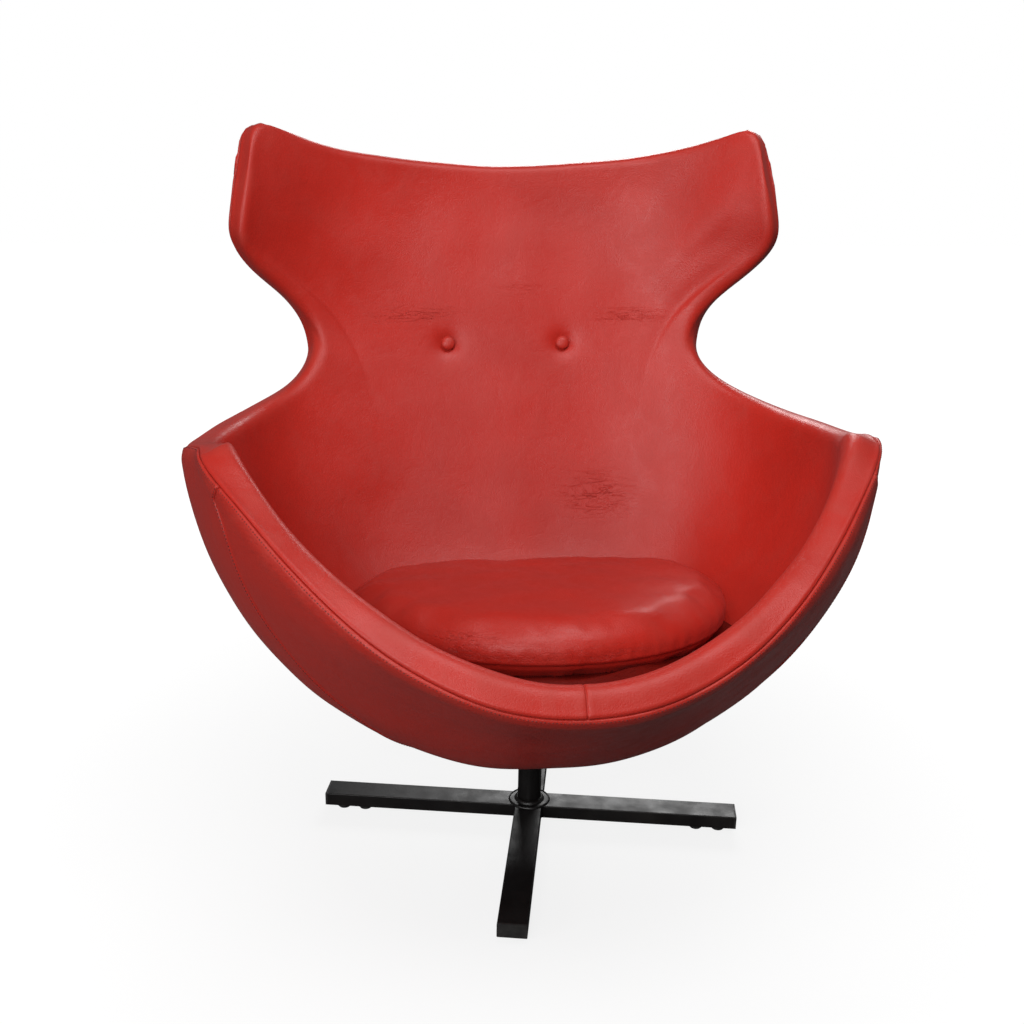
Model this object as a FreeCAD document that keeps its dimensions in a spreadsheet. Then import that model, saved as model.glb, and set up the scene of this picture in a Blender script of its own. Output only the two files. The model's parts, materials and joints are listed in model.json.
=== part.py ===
"""Winged swivel lounge chair: upholstered bucket shell, loose seat cushion, four-leg swivel base.

Frame: origin on the floor on the swivel axis, +Z up, the seat faces -Y. Lengths in millimetres.
"""
import FreeCAD, Part
import math
import os
import re

import Sketcher
from FreeCAD import Placement, Rotation, Vector

# ---------------------------------------------------------------- driving sizes
SIZES = {
    # four-leg base: rectangular tubes welded to a hub
    "base_turn": -12,          # how far the base is turned under the seat, in degrees
    "leg_reach": 310,          # swivel axis to the outer face of an end cap
    "leg_width": 40,
    "leg_height": 20,
    "leg_wall": 2,
    "leg_corner": 1.5,
    "leg_gap": 12,             # floor to the underside of a leg
    "hub_margin": 0.3,         # hub beyond the corners where two legs meet
    "hub_rise": 1.5,           # hub top above the leg tops
    "weld_gap": 0.1,
    "weld_leg": 4.5,           # size of the weld bead round the column
    "hub_weld_leg": 2.5,
    # end caps and glides
    "cap_flange": 3,
    "cap_plug": 14,
    "cap_fit": 0.2,
    "glide_radius": 12.5,
    "glide_pad_radius": 7,
    "glide_rim": 2.5,
    "glide_stem_radius": 4,
    "glide_stem": 7,
    "glide_fit": 0.1,
    "glide_outer": 25,         # leg end to the outer glide's centre
    "glide_pitch": 33,
    # column, bushes and spindle
    "column_radius": 17.5,
    "column_wall": 2.5,
    "plug_height": 8,
    "plug_fit": 0.1,
    "spindle_radius": 10,
    "spindle_end": 52,         # floor to the spindle's lower end
    "bush_fit": 0.05,
    "bush_length": 28,
    "bush_flange": 3,
    "bush_flange_radius": 21,
    "washer_thickness": 2,
    "thrust_washer_radius": 21,
    "swivel_gap": 0.1,
    "boss_radius": 24,
    "boss_height": 8,
    "clip_thickness": 1.2,
    "clip_groove": 0.8,
    "clip_end": 6,             # spindle end to the circlip
    # seat plate and its fasteners
    "plate_top": 175,          # floor to the top of the seat plate
    "plate_side": 150,
    "plate_thickness": 4,
    "plate_corner": 16,
    "bolt_spacing": 120,
    "bolt_radius": 4,
    "bolt_hole_fit": 0.5,
    "bolt_length": 15,
    "bolt_head": 5.3,
    "bolt_head_flats": 13,
    "bolt_washer_radius": 8,
    "bolt_washer": 1.6,
    "insert_radius": 6,
    "insert_length": 11,
    "insert_fit": 0.05,
    "block_radius": 100,
    # upholstered shell, built up in layers about its middle surface
    "half_thickness": 26,
    "cover_thickness": 1.5,
    "layer_gap": 0.5,
    "laminate_inner": 10.5,    # fibreglass starts this far outside the middle surface
    "laminate_thickness": 5,
    "laminate_inset": 14,      # fibreglass edge to the padded rim
    "outer_foam_inset": 14.5,
    "base_opening_fit": 2,
    "laminate_vent": 15,
    "cover_opening": 120,      # the bucket cover stops under the seat deck
    "facing_seam": 0.042,       # share of the side edge, from the arm tip, in the front facing
    # buttons
    "button_x": 95,
    "button_rise": 487,        # seat plate to the buttons
    "button_radius": 11,
    "button_depth": 7,
    "button_recess": 6,
    "button_fit": 0.6,
    "twine_radius": 1.2,
    "twine_hole": 3,
    "toggle_radius": 9,
    "toggle_thickness": 3,
    # seat deck and loose cushion
    "deck_rise": 138,          # seat plate to the deck, on the swivel axis
    "deck_tilt": 7,            # degrees, falling to the back
    "deck_gap": 0.9,
    "cushion_side_reach": 306,     # swivel axis to the bucket's middle surface, less a fit
    "cushion_front_reach": 292,
    "cushion_back_reach": 198,
    "cushion_corner": 150,
    "cushion_thickness": 75,
    "cushion_round": 33,
    "rest_gap": 0.3,
    # zip in the cushion's back wall
    "zip_length": 230,
    "zip_width": 7,
    "zip_proud": 0.8,
    "slider_length": 12,
    "slider_width": 6,
    "slider_thickness": 2.4,
    "slider_gap": 0.1,
}

# The middle surface is a net of control points: one row for each section, front rim to headrest,
# and on each section the centre line (y, z), then a quarter, side and edge point (x, y, z).
# Heights are above the top of the seat plate.
SECTIONS = {
    "front": ((-415, 210), (160, -400, 240), (300, -300, 330), (425, -125, 440)),
    "lip": ((-305, 125), (145, -270, 155), (420, -210, 305), (420, -75, 440)),
    "thigh": ((-215, 25), (180, -190, 15), (435, -100, 220), (465, 5, 415)),
    "seat": ((-50, 40), (235, -50, 20), (420, 20, 200), (455, 110, 405)),
    "hip": ((190, 45), (235, 185, 45), (410, 160, 220), (420, 235, 405)),
    "waist": ((300, 230), (215, 300, 225), (355, 245, 295), (340, 325, 430)),
    "back": ((370, 400), (185, 370, 400), (280, 340, 400), (300, 360, 490)),
    "neck": ((420, 545), (175, 420, 545), (280, 390, 525), (345, 375, 560)),
    "wing": ((450, 655), (180, 450, 655), (315, 405, 650), (440, 305, 645)),
    "head": ((460, 710), (175, 460, 710), (305, 420, 715), (410, 300, 705)),
    "crown": ((470, 755), (170, 460, 770), (285, 425, 785), (395, 355, 825)),
}

os.makedirs("parts", exist_ok=True)
doc = FreeCAD.newDocument("swivel_lounge_chair")
sheet = doc.addObject("Spreadsheet::Sheet", "Sizes")

cells = dict(SIZES)
for section, (middle, quarter, side, edge) in SECTIONS.items():
    for letter, number in zip("yz", middle):
        cells[f"{section}_middle_{letter}"] = number
    for point_name, point in (("quarter", quarter), ("side", side), ("edge", edge)):
        for letter, number in zip("xyz", point):
            cells[f"{section}_{point_name}_{letter}"] = number
for row, (name, number) in enumerate(cells.items(), 1):
    sheet.set(f"A{row}", name)
    sheet.set(f"B{row}", str(number))
    sheet.setAlias(f"B{row}", name)
doc.recompute()

SUB_PARTS = []


def size(name):
    """A driving size, read from the sheet."""
    return float(sheet.get(name))


def bound(text):
    """An expression over driving sizes, with each name pointed at the sheet."""
    return re.sub(r"[a-z][a-z_]+_[a-z_]+", lambda word: f"Sizes.{word.group()}", text)


def value(text):
    """What an expression over driving sizes comes to."""
    return float(sheet.evalExpression(bound(text)))


def sub_part(thing, label):
    """Name an object as one of the chair's pieces."""
    thing.Label = label
    SUB_PARTS.append(thing)
    return thing


def primitive(kind, name, lift="0", **sizes):
    """A Part primitive with its sizes and its height bound to the sheet."""
    thing = doc.addObject(f"Part::{kind}", name)
    for key, text in sizes.items():
        thing.setExpression(key, bound(text))
    thing.setExpression("Placement.Base.z", bound(lift))
    return thing


def cut(name, base, tool):
    """Base minus tool."""
    thing = doc.addObject("Part::Cut", name)
    thing.Base = base
    thing.Tool = tool
    return thing


def fuse(name, *things):
    """The union of several objects."""
    thing = doc.addObject("Part::MultiFuse", name)
    thing.Shapes = list(things)
    return thing


def compound(name, things):
    """Several separate solids in one node."""
    thing = doc.addObject("Part::Compound", name)
    thing.Links = list(things)
    return thing


def ring(name, outer, inner, height, lift):
    """A turned ring or tube about the swivel axis."""
    body = primitive("Cylinder", name + "_body", lift, Radius=outer, Height=height)
    bore = primitive("Cylinder", name + "_bore", lift, Radius=inner, Height=height)
    return cut(name, body, bore)


# ---------------------------------------------------------------- heights on the swivel axis
LEG_TOP = "leg_gap + leg_height"
PLATE_BOTTOM = "plate_top - plate_thickness"
BOSS_BOTTOM = f"{PLATE_BOTTOM} - boss_height"
FLANGE_TOP = f"{BOSS_BOTTOM} - washer_thickness - swivel_gap"
COLUMN_TOP = f"{FLANGE_TOP} - bush_flange"
COLUMN_BORE = "column_radius - column_wall"
HUB_RADIUS = "leg_width / sqrt(2) + hub_margin"
CLIP_BOTTOM = "spindle_end + clip_end"
RETAINER_BOTTOM = f"{CLIP_BOTTOM} + clip_thickness"
LOWER_BUSH = f"{RETAINER_BOTTOM} + washer_thickness + swivel_gap"


# ---------------------------------------------------------------- sketch helpers
def new_sketch(body, plane, name, lift=None):
    """A sketch on one of the body's own origin planes, lifted along the plane's normal."""
    sketch = body.newObject("Sketcher::SketchObject", name)
    sketch.AttachmentSupport = [(feature, "") for feature in body.Origin.OriginFeatures
                                if feature.Role == plane]
    sketch.MapMode = "FlatFace"
    if lift:
        sketch.setExpression("AttachmentOffset.Base.z", bound(lift))
    return sketch


def bind(sketch, kind, text, *where):
    """A dimension in a sketch, bound to the sheet."""
    index = sketch.addConstraint(Sketcher.Constraint(kind, *where, value(text)))
    sketch.setExpression(f"Constraints[{index}]", bound(text))


def draw_rectangle(sketch, width, height, middle="0", aside="0"):
    """A rectangle with its centre raised by middle and moved sideways by aside."""
    first = sketch.GeometryCount
    right, top = value(width) / 2, value(height) / 2
    centre = Vector(value(aside), value(middle))
    corners = [centre + Vector(x, y) for x, y in
               ((-right, -top), (right, -top), (right, top), (-right, top))]
    for start, end in zip(corners, corners[1:] + corners[:1]):
        sketch.addGeometry(Part.LineSegment(start, end), False)
    for side in range(4):
        after = first + (side + 1) % 4
        sketch.addConstraint(Sketcher.Constraint("Coincident", first + side, 2, after, 1))
        direction = "Horizontal" if side % 2 == 0 else "Vertical"
        sketch.addConstraint(Sketcher.Constraint(direction, first + side))
    bind(sketch, "DistanceX", width, first, 1, first, 2)
    bind(sketch, "DistanceX", f"{aside} + ({width}) / 2", -1, 1, first, 2)
    bind(sketch, "DistanceY", height, first + 1, 1, first + 1, 2)
    bind(sketch, "DistanceY", f"{middle} + ({height}) / 2", -1, 1, first + 1, 2)


def draw_circle(sketch, radius, x="0", y="0"):
    """A circle with its centre at bound distances from the origin."""
    here = sketch.addGeometry(Part.Circle(Vector(1, 1), Vector(0, 0, 1), 3), False)
    bind(sketch, "Radius", radius, here)
    if x == "0" and y == "0":
        sketch.addConstraint(Sketcher.Constraint("Coincident", here, 3, -1, 1))
        return
    bind(sketch, "DistanceX", x, -1, 1, here, 3)
    if y == "0":
        sketch.addConstraint(Sketcher.Constraint("PointOnObject", here, 3, -1))
    else:
        bind(sketch, "DistanceY", y, -1, 1, here, 3)


def pad(body, sketch, length, name, backwards=False):
    """Extrude a sketch."""
    feature = body.newObject("PartDesign::Pad", name)
    feature.Profile = sketch
    feature.setExpression("Length", bound(length))
    feature.Reversed = backwards
    doc.recompute()
    return feature


def pocket_up(body, sketch, depth, name):
    """Cut a sketch upwards, and check that it cut something."""
    before = body.Shape.Volume
    feature = body.newObject("PartDesign::Pocket", name)
    feature.Profile = sketch
    feature.setExpression("Length", bound(depth))
    feature.Reversed = True
    doc.recompute()
    if not feature.Shape.Volume < before - 1:
        raise RuntimeError(f"{name} cuts nothing")
    return feature


def round_edges(body, base, direction, radius, name):
    """Round the outer edges that run along a direction."""
    names = []
    farthest = 0
    for index, edge in enumerate(base.Shape.Edges, 1):
        if edge.Curve.TypeId != "Part::GeomLine":
            continue
        if abs(edge.tangentAt(edge.FirstParameter).dot(direction)) < 0.999:
            continue
        middle = edge.CenterOfMass
        reach = middle.distanceToLine(base.Shape.CenterOfMass, direction)
        names.append((reach, f"Edge{index}"))
        farthest = max(farthest, reach)
    feature = body.newObject("PartDesign::Fillet", name)
    feature.Base = (base, [edge for reach, edge in names if reach > farthest - 0.01])
    feature.setExpression("Radius", bound(radius))
    doc.recompute()
    return feature


X_AXIS = Vector(1, 0, 0)
Z_AXIS = Vector(0, 0, 1)
LEG_MIDDLE = "leg_gap + leg_height / 2"
TUBE_END = "leg_reach - cap_flange"
OUTER_GLIDE = "leg_reach - glide_outer"
INNER_GLIDE = "leg_reach - glide_outer - glide_pitch"


def turned(thing, quarter_turns):
    """Turn a piece of the base about the swivel axis, with the base."""
    thing.setExpression("Placement.Rotation.Angle", bound("base_turn") + f" + 90 * {quarter_turns}")
    return thing


# ---------------------------------------------------------------- legs, end caps and glides
def leg(place, quarter_turns):
    """A rectangular steel tube from the hub to the end cap, drilled below for two glides."""
    body = doc.addObject("PartDesign::Body", f"leg_{place}")
    section = new_sketch(body, "YZ_Plane", f"leg_{place}_section")
    draw_rectangle(section, "leg_width", "leg_height", LEG_MIDDLE)
    bar = pad(body, section, TUBE_END, f"leg_{place}_bar")
    bar = round_edges(body, bar, X_AXIS, "leg_corner", f"leg_{place}_corners")
    hollow = new_sketch(body, "YZ_Plane", f"leg_{place}_hollow", TUBE_END)
    draw_rectangle(hollow, "leg_width - 2 * leg_wall", "leg_height - 2 * leg_wall", LEG_MIDDLE)
    bore = body.newObject("PartDesign::Pocket", f"leg_{place}_bore")
    bore.Profile = hollow
    bore.setExpression("Length", bound(TUBE_END))
    doc.recompute()
    mouth = new_sketch(body, "XY_Plane", f"leg_{place}_mouth")
    draw_circle(mouth, f"{HUB_RADIUS} + weld_gap")
    pocket_up(body, mouth, f"{LEG_TOP} + hub_rise", f"leg_{place}_hub_cut")
    holes = new_sketch(body, "XY_Plane", f"leg_{place}_holes")
    for centre in (OUTER_GLIDE, INNER_GLIDE):
        draw_circle(holes, "glide_stem_radius + glide_fit", centre)
    pocket_up(body, holes, "leg_gap + leg_wall + glide_fit", f"leg_{place}_glide_holes")
    return sub_part(turned(body, quarter_turns), f"leg_{place}")


def end_cap(place, quarter_turns):
    """A moulded cap: a flange over the tube's end and a plug inside it."""
    body = doc.addObject("PartDesign::Body", f"end_cap_{place}")
    face = new_sketch(body, "YZ_Plane", f"end_cap_{place}_face", TUBE_END)
    draw_rectangle(face, "leg_width", "leg_height", LEG_MIDDLE)
    flange = pad(body, face, "cap_flange", f"end_cap_{place}_flange")
    flange = round_edges(body, flange, X_AXIS, "leg_corner", f"end_cap_{place}_corners")
    inside = new_sketch(body, "YZ_Plane", f"end_cap_{place}_inside", TUBE_END)
    draw_rectangle(inside, "leg_width - 2 * leg_wall - 2 * cap_fit",
                   "leg_height - 2 * leg_wall - 2 * cap_fit", LEG_MIDDLE)
    pad(body, inside, "cap_plug", f"end_cap_{place}_plug", backwards=True)
    return sub_part(turned(body, quarter_turns), f"end_cap_{place}")


def glide(place, which, reach, quarter_turns):
    """A domed push-in glide: rim, dome down to a flat pad, and a stem into the leg."""
    name = f"glide_{place}_{which}"
    dome = primitive("Cone", name + "_dome", Radius1="glide_pad_radius", Radius2="glide_radius",
                     Height="leg_gap - glide_rim")
    rim = primitive("Cylinder", name + "_rim", "leg_gap - glide_rim", Radius="glide_radius",
                    Height="glide_rim")
    stem = primitive("Cylinder", name + "_stem", "leg_gap", Radius="glide_stem_radius",
                     Height="glide_stem")
    for piece in (dome, rim, stem):
        piece.setExpression("Placement.Base.x", bound(reach))
    whole = fuse(name, dome, rim, stem)
    return sub_part(turned(whole, quarter_turns), name)


for quarter_turns, place in enumerate(("right", "rear", "left", "front")):
    leg(place, quarter_turns)
    end_cap(place, quarter_turns)
    glide(place, "outer", OUTER_GLIDE, quarter_turns)
    glide(place, "inner", INNER_GLIDE, quarter_turns)

# ---------------------------------------------------------------- hub, column and welds
sub_part(ring("hub", HUB_RADIUS, "column_radius + weld_gap", "leg_height + hub_rise", "leg_gap"),
         "hub")
sub_part(ring("column", "column_radius", COLUMN_BORE, f"{COLUMN_TOP} - leg_gap", "leg_gap"),
         "column")


def weld(name, radius, lift, leg_size):
    """A ring of weld in the corner between an upright face and a level one."""
    bead = primitive("Cone", name + "_bead", f"{lift} + weld_gap",
                     Radius1=f"{radius} + weld_gap + {leg_size}",
                     Radius2=f"{radius} + weld_gap + {leg_size} / 5", Height=leg_size)
    bore = primitive("Cylinder", name + "_bore", lift, Radius=f"{radius} + weld_gap",
                     Height=f"2 * {leg_size}")
    return sub_part(cut(name, bead, bore), name)


weld("column_weld", "column_radius", f"{LEG_TOP} + hub_rise", "weld_leg")
weld("hub_weld", HUB_RADIUS, LEG_TOP, "hub_weld_leg")
sub_part(primitive("Cylinder", "base_plug", "leg_gap", Radius=f"{COLUMN_BORE} - plug_fit",
                   Height="plug_height"), "base_plug")


# ---------------------------------------------------------------- swivel bearing
def bush(name, lift):
    """A nylon bush: a light fit in the column and a running fit on the spindle."""
    return ring(name, f"{COLUMN_BORE} - bush_fit", "spindle_radius + bush_fit", "bush_length", lift)


sleeve = bush("upper_bush_sleeve", f"{COLUMN_TOP} - bush_length")
collar = ring("upper_bush_collar", "bush_flange_radius", "spindle_radius + bush_fit",
              "bush_flange", COLUMN_TOP)
sub_part(fuse("upper_bush", sleeve, collar), "upper_bush")
sub_part(bush("lower_bush", LOWER_BUSH), "lower_bush")
sub_part(ring("thrust_washer", "thrust_washer_radius", "spindle_radius + bush_fit",
              "washer_thickness", f"{FLANGE_TOP} + swivel_gap"), "thrust_washer")
sub_part(ring("retaining_washer", f"{COLUMN_BORE} - 4 * swivel_gap", "spindle_radius + bush_fit",
              "washer_thickness", RETAINER_BOTTOM), "retaining_washer")

rod = primitive("Cylinder", "spindle_rod", "spindle_end", Radius="spindle_radius",
                Height="plate_top - spindle_end")
boss = primitive("Cylinder", "spindle_boss", BOSS_BOTTOM, Radius="boss_radius",
                 Height="boss_height")
groove = ring("spindle_groove", "spindle_radius + swivel_gap", "spindle_radius - clip_groove",
              "clip_thickness + swivel_gap", f"{CLIP_BOTTOM} - swivel_gap")
sub_part(cut("spindle", fuse("spindle_blank", rod, boss), groove), "spindle")

clip = ring("circlip_ring", "spindle_radius + 3 * clip_groove",
            "spindle_radius - clip_groove + bush_fit", "clip_thickness", CLIP_BOTTOM)
mouth = primitive("Box", "circlip_mouth", CLIP_BOTTOM, Length="spindle_radius * 2",
                  Width="spindle_radius * 4 / 5", Height="clip_thickness")
mouth.setExpression("Placement.Base.y", bound("spindle_radius * -2 / 5"))
sub_part(cut("circlip", clip, mouth), "circlip")

# ---------------------------------------------------------------- seat plate and its fasteners
plate = doc.addObject("PartDesign::Body", "seat_plate")
outline = new_sketch(plate, "XY_Plane", "seat_plate_outline", PLATE_BOTTOM)
draw_rectangle(outline, "plate_side", "plate_side")
draw_circle(outline, "spindle_radius + weld_gap")
blank = pad(plate, outline, "plate_thickness", "seat_plate_blank")
blank = round_edges(plate, blank, Z_AXIS, "plate_corner", "seat_plate_corners")
bolt_holes = new_sketch(plate, "XY_Plane", "seat_plate_bolt_holes")
BOLT_PLACES = [(across, along) for across in (-1, 1) for along in (-1, 1)]
for across, along in BOLT_PLACES:
    hole = bolt_holes.addGeometry(Part.Circle(Vector(9 * across, 9 * along), Z_AXIS, 3), False)
    bind(bolt_holes, "Radius", "bolt_radius + bolt_hole_fit", hole)
    bind(bolt_holes, "DistanceX", f"bolt_spacing / 2 * {across}", -1, 1, hole, 3)
    bind(bolt_holes, "DistanceY", f"bolt_spacing / 2 * {along}", -1, 1, hole, 3)
pocket_up(plate, bolt_holes, "plate_top + plate_thickness", "seat_plate_drilling")
sub_part(plate, "seat_plate")


def at_bolts(name, make):
    """Four copies of a fastener at the corners of the bolt square, as one node."""
    copies = []
    for number, (across, along) in enumerate(BOLT_PLACES, 1):
        piece = make(f"{name}_{number}")
        piece.setExpression("Placement.Base.x", bound(f"bolt_spacing / 2 * {across}"))
        piece.setExpression("Placement.Base.y", bound(f"bolt_spacing / 2 * {along}"))
        copies.append(piece)
    return sub_part(compound(name, copies), name)


def plate_bolt(name):
    """A hexagon bolt, put in from below."""
    head = primitive("Prism", name + "_head", f"{PLATE_BOTTOM} - bolt_washer - bolt_head",
                     Circumradius="bolt_head_flats / sqrt(3)", Height="bolt_head")
    shank = primitive("Cylinder", name + "_shank", f"{PLATE_BOTTOM} - bolt_washer",
                      Radius="bolt_radius", Height="bolt_length + bolt_washer")
    return fuse(name, head, shank)


def bolt_washer(name):
    """A plain washer under a bolt head."""
    return ring(name, "bolt_washer_radius", "bolt_radius + bolt_hole_fit", "bolt_washer",
                f"{PLATE_BOTTOM} - bolt_washer")


def threaded_insert(name):
    """A threaded steel insert in the wooden block."""
    return ring(name, "insert_radius", "bolt_radius + insert_fit", "insert_length", "plate_top")


at_bolts("plate_bolts", plate_bolt)
at_bolts("bolt_washers", bolt_washer)
at_bolts("threaded_inserts", threaded_insert)
doc.recompute()


# ---------------------------------------------------------------- the shell's middle surface
HALF = size("half_thickness")
COVER = size("cover_thickness")
GAP = size("layer_gap")
LAMINATE_IN = size("laminate_inner")
LAMINATE_OUT = LAMINATE_IN + size("laminate_thickness")
LINING = HALF - COVER - GAP
BASE_OPENING = size("block_radius") + size("base_opening_fit")


def control_net():
    """Rows of control points, front rim to headrest, each from the left edge to the right."""
    rows = []
    for section in SECTIONS:
        def point(name, section=section):
            """One control point of this section, on the right-hand side."""
            x = 0 if name == "middle" else size(f"{section}_{name}_x")
            z = size("plate_top") + size(f"{section}_{name}_z")
            return Vector(x, size(f"{section}_{name}_y"), z)

        right = [point("quarter"), point("side"), point("edge")]
        left = [Vector(-p.x, p.y, p.z) for p in reversed(right)]
        rows.append(left + [point("middle")] + right)
    return rows


def clamped(count, degree=3):
    """Knots and multiplicities of a clamped, evenly spaced spline with this many poles."""
    spans = count - degree
    knots = [step / spans for step in range(spans + 1)]
    return knots, [degree + 1] + [1] * (spans - 1) + [degree + 1]


def spline_surface(rows, closed=False):
    """A cubic surface over a grid of poles; closed joins each row's end to its start."""
    row_degree = min(3, len(rows) - 1)
    along_knots, along_mults = clamped(len(rows), row_degree)
    if closed:
        count = len(rows[0])
        across_knots = [step / count for step in range(count + 1)]
        across_mults = [1] * (count + 1)
    else:
        across_knots, across_mults = clamped(len(rows[0]))
    surface = Part.BSplineSurface()
    surface.buildFromPolesMultsKnots(rows, along_mults, across_mults, along_knots, across_knots,
                                     False, closed, row_degree, 3)
    return surface


MIDDLE = spline_surface(control_net())
INNER_ROWS = 20
CENTRE = 0.5
RIM_STEP = 0.025       # share of a side of the rim, for directions and spacings along it
FAN_FIT = 42           # rows of every layer lie over the same places, down to this far from
FAN_RADIUS = max(size("cover_opening"), BASE_OPENING) + FAN_FIT    # the widest opening
FAN_STEP = 25
LINING_RETURN = 6      # the lining's back steps over the fibreglass edge in this distance
LINING_CORNER = 1


def outward(along, across):
    """Unit normal of the middle surface, away from the sitter."""
    inside = 0.012
    along = min(max(along, inside), 1 - inside)
    across = min(max(across, inside), 1 - inside)
    step = 0.004
    down = MIDDLE.value(along + step, across) - MIDDLE.value(along - step, across)
    over = MIDDLE.value(along, across + step) - MIDDLE.value(along, across - step)
    return down.cross(over).normalize()


def rim_place(turn):
    """The place on the rim this far round: one unit a side, from the front's left end."""
    side, share = divmod(turn % 4, 1)
    return ((0, share), (share, 1), (1, 1 - share), (1 - share, 0))[int(side)]


def in_share(value):
    """The nearest number from 0 to 1."""
    return min(max(value, 0), 1)


def slopes(along, across):
    """How a point of the middle surface moves with each of its two numbers."""
    step = 0.002
    found = []
    for down, over in ((step, 0), (0, step)):
        ahead = in_share(along + down), in_share(across + over)
        behind = in_share(along - down), in_share(across - over)
        width = ahead[0] - behind[0] + ahead[1] - behind[1]
        found.append((MIDDLE.value(*ahead) - MIDDLE.value(*behind)) * (1 / width))
    return found


def rim_inward(turn):
    """Direction into the sheet at a place on the rim, square to the rim."""
    tangent = (MIDDLE.value(*rim_place(turn + RIM_STEP))
               - MIDDLE.value(*rim_place(turn - RIM_STEP)))
    return tangent.cross(outward(*rim_place(turn))).normalize()


def in_from_rim(turn, distance):
    """The place this far in from the rim: a few steps of Newton's rule on the surface."""
    along, across = rim_place(turn)
    goal = MIDDLE.value(along, across) + rim_inward(turn) * distance
    for _ in range(4):
        down, over = slopes(along, across)
        missing = goal - MIDDLE.value(along, across)
        down_down, down_over, over_over = down.dot(down), down.dot(over), over.dot(over)
        along_miss, across_miss = missing.dot(down), missing.dot(over)
        scale = 1 / (down_down * over_over - down_over ** 2)
        along = in_share(along + (along_miss * over_over - across_miss * down_over) * scale)
        across = in_share(across + (across_miss * down_down - along_miss * down_over) * scale)
    return along, across


def on_layer(place, level):
    """The point at a place of the middle surface, offset outward by level."""
    return MIDDLE.value(*place) + outward(*place) * level


def nose(inset, start, level):
    """Rows round the padded rim: distance in from the rim and offset from the middle surface."""
    reach = HALF - inset
    rise = level - start
    steps = ((0, 0), (0, 0.55), (0.45, 1))
    return [(inset + reach * run, start + rise * lift) for run, lift in steps]


def flat_edge(inset, level):
    """Rows straight in from a square edge."""
    return [(inset + (HALF - inset) * share, level) for share in (0, 0.3, 0.65)]


def wrapped_edge(inset, turn, level):
    """Rows of the lining foam's back: round the rim and down behind the fibreglass edge."""
    radius = HALF - inset
    arc = [(HALF - radius * math.cos(math.radians(angle)), radius * math.sin(math.radians(angle)))
           for angle in (0, 18, 38, 56)]
    return arc + [(turn, level + LINING_RETURN), (turn, level + LINING_CORNER), (turn, level),
                  (turn + LINING_CORNER, level), (turn + LINING_RETURN, level)]


def bisect(low, high, is_short):
    """The place between low and high where is_short turns from true to false."""
    for _ in range(24):
        middle = (low + high) / 2
        if is_short(middle):
            low = middle
        else:
            high = middle
    return low


AXIS_STATION = bisect(0.1, 0.5, lambda along: MIDDLE.value(along, CENTRE).y < 0)


def ray_point(end, fraction, level):
    """A point on the ray from the swivel axis to the end of a rim row, offset by level."""
    return on_layer((AXIS_STATION + (end[0] - AXIS_STATION) * fraction,
                     CENTRE + (end[1] - CENTRE) * fraction), level)


def opening_fraction(end, radius, level):
    """How far out along a ray the offset surface reaches this radius from the swivel axis."""
    def is_short(fraction):
        point = ray_point(end, fraction, level)
        return math.hypot(point.x, point.y) < radius

    return bisect(0.0, 0.7, is_short)


def spread(start, end, count):
    """Evenly spaced numbers, the end left out."""
    return [start + (end - start) * step / count for step in range(count)]


TURNS = (spread(0.5, 1, 11) + spread(1, 2, 24) + spread(2, 3, 20) + spread(3, 4, 24)
         + spread(4, 4.5, 11))
ENDS = [in_from_rim(turn, HALF) for turn in TURNS]
FANS = [opening_fraction(end, FAN_RADIUS, 0) for end in ENDS]


def layer_rows(profile, level, opening):
    """Poles of one face of a layer: rows from the rim in to the opening round the axis."""
    rows = [[on_layer(in_from_rim(turn, run), lift) for turn in TURNS] for run, lift in profile]
    body = [[ray_point(end, 1 + (fan - 1) * share, level) for end, fan in zip(ENDS, FANS)]
            for share in spread(0, 1, INNER_ROWS)]
    last = [opening_fraction(end, opening, level) for end in ENDS]
    steps = math.ceil((FAN_RADIUS - opening) / FAN_STEP)
    for share in spread(0, 1, steps) + [1]:
        body.append([ray_point(end, fan + (inner - fan) * share, level)
                     for end, fan, inner in zip(ENDS, FANS, last)])
    return round_sharpened(rows) + sharpened(body)


def pole(before, here, after):
    """The pole for which an evenly spaced cubic passes through the middle one of three places."""
    return here * (4 / 3) - (before + after) * (1 / 6)


def round_sharpened(rows):
    """Move poles so that each closed row passes through the places they started from."""
    return [[pole(row[k - 1], row[k], row[(k + 1) % len(row)]) for k in range(len(row))]
            for row in rows]


def sharpened(rows):
    """Move poles so that the surface passes through the places they started from, both ways."""
    moved = round_sharpened(rows)
    middle = [[pole(*three) for three in zip(*around)]
              for around in zip(moved, moved[1:], moved[2:])]
    return moved[:1] + middle + moved[-1:]


def sewn_solid(faces):
    """The solid inside a closed set of faces."""
    skin = Part.Shell(faces)
    skin.sewShape()
    solid = Part.Solid(skin)
    if solid.Volume < 0:
        solid.reverse()
    return solid


def sheet_solid(rows_a, rows_b):
    """The solid between two closed rings of rows, with walls round their edges."""
    faces = [spline_surface(rows_a, True).toShape(), spline_surface(rows_b, True).toShape()]
    for one, other in ((rows_a[0], rows_b[0]), (rows_a[-1], rows_b[-1])):
        if max(p.distanceToPoint(q) for p, q in zip(one, other)) > 1e-6:
            faces.append(spline_surface([one, other], True).toShape())
    return sewn_solid(faces)


def soft_part(label, shape):
    """A piece whose shape is worked out from the sheet with Part's own functions."""
    thing = doc.addObject("Part::Feature", label)
    thing.Shape = shape
    return sub_part(thing, label)


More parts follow.
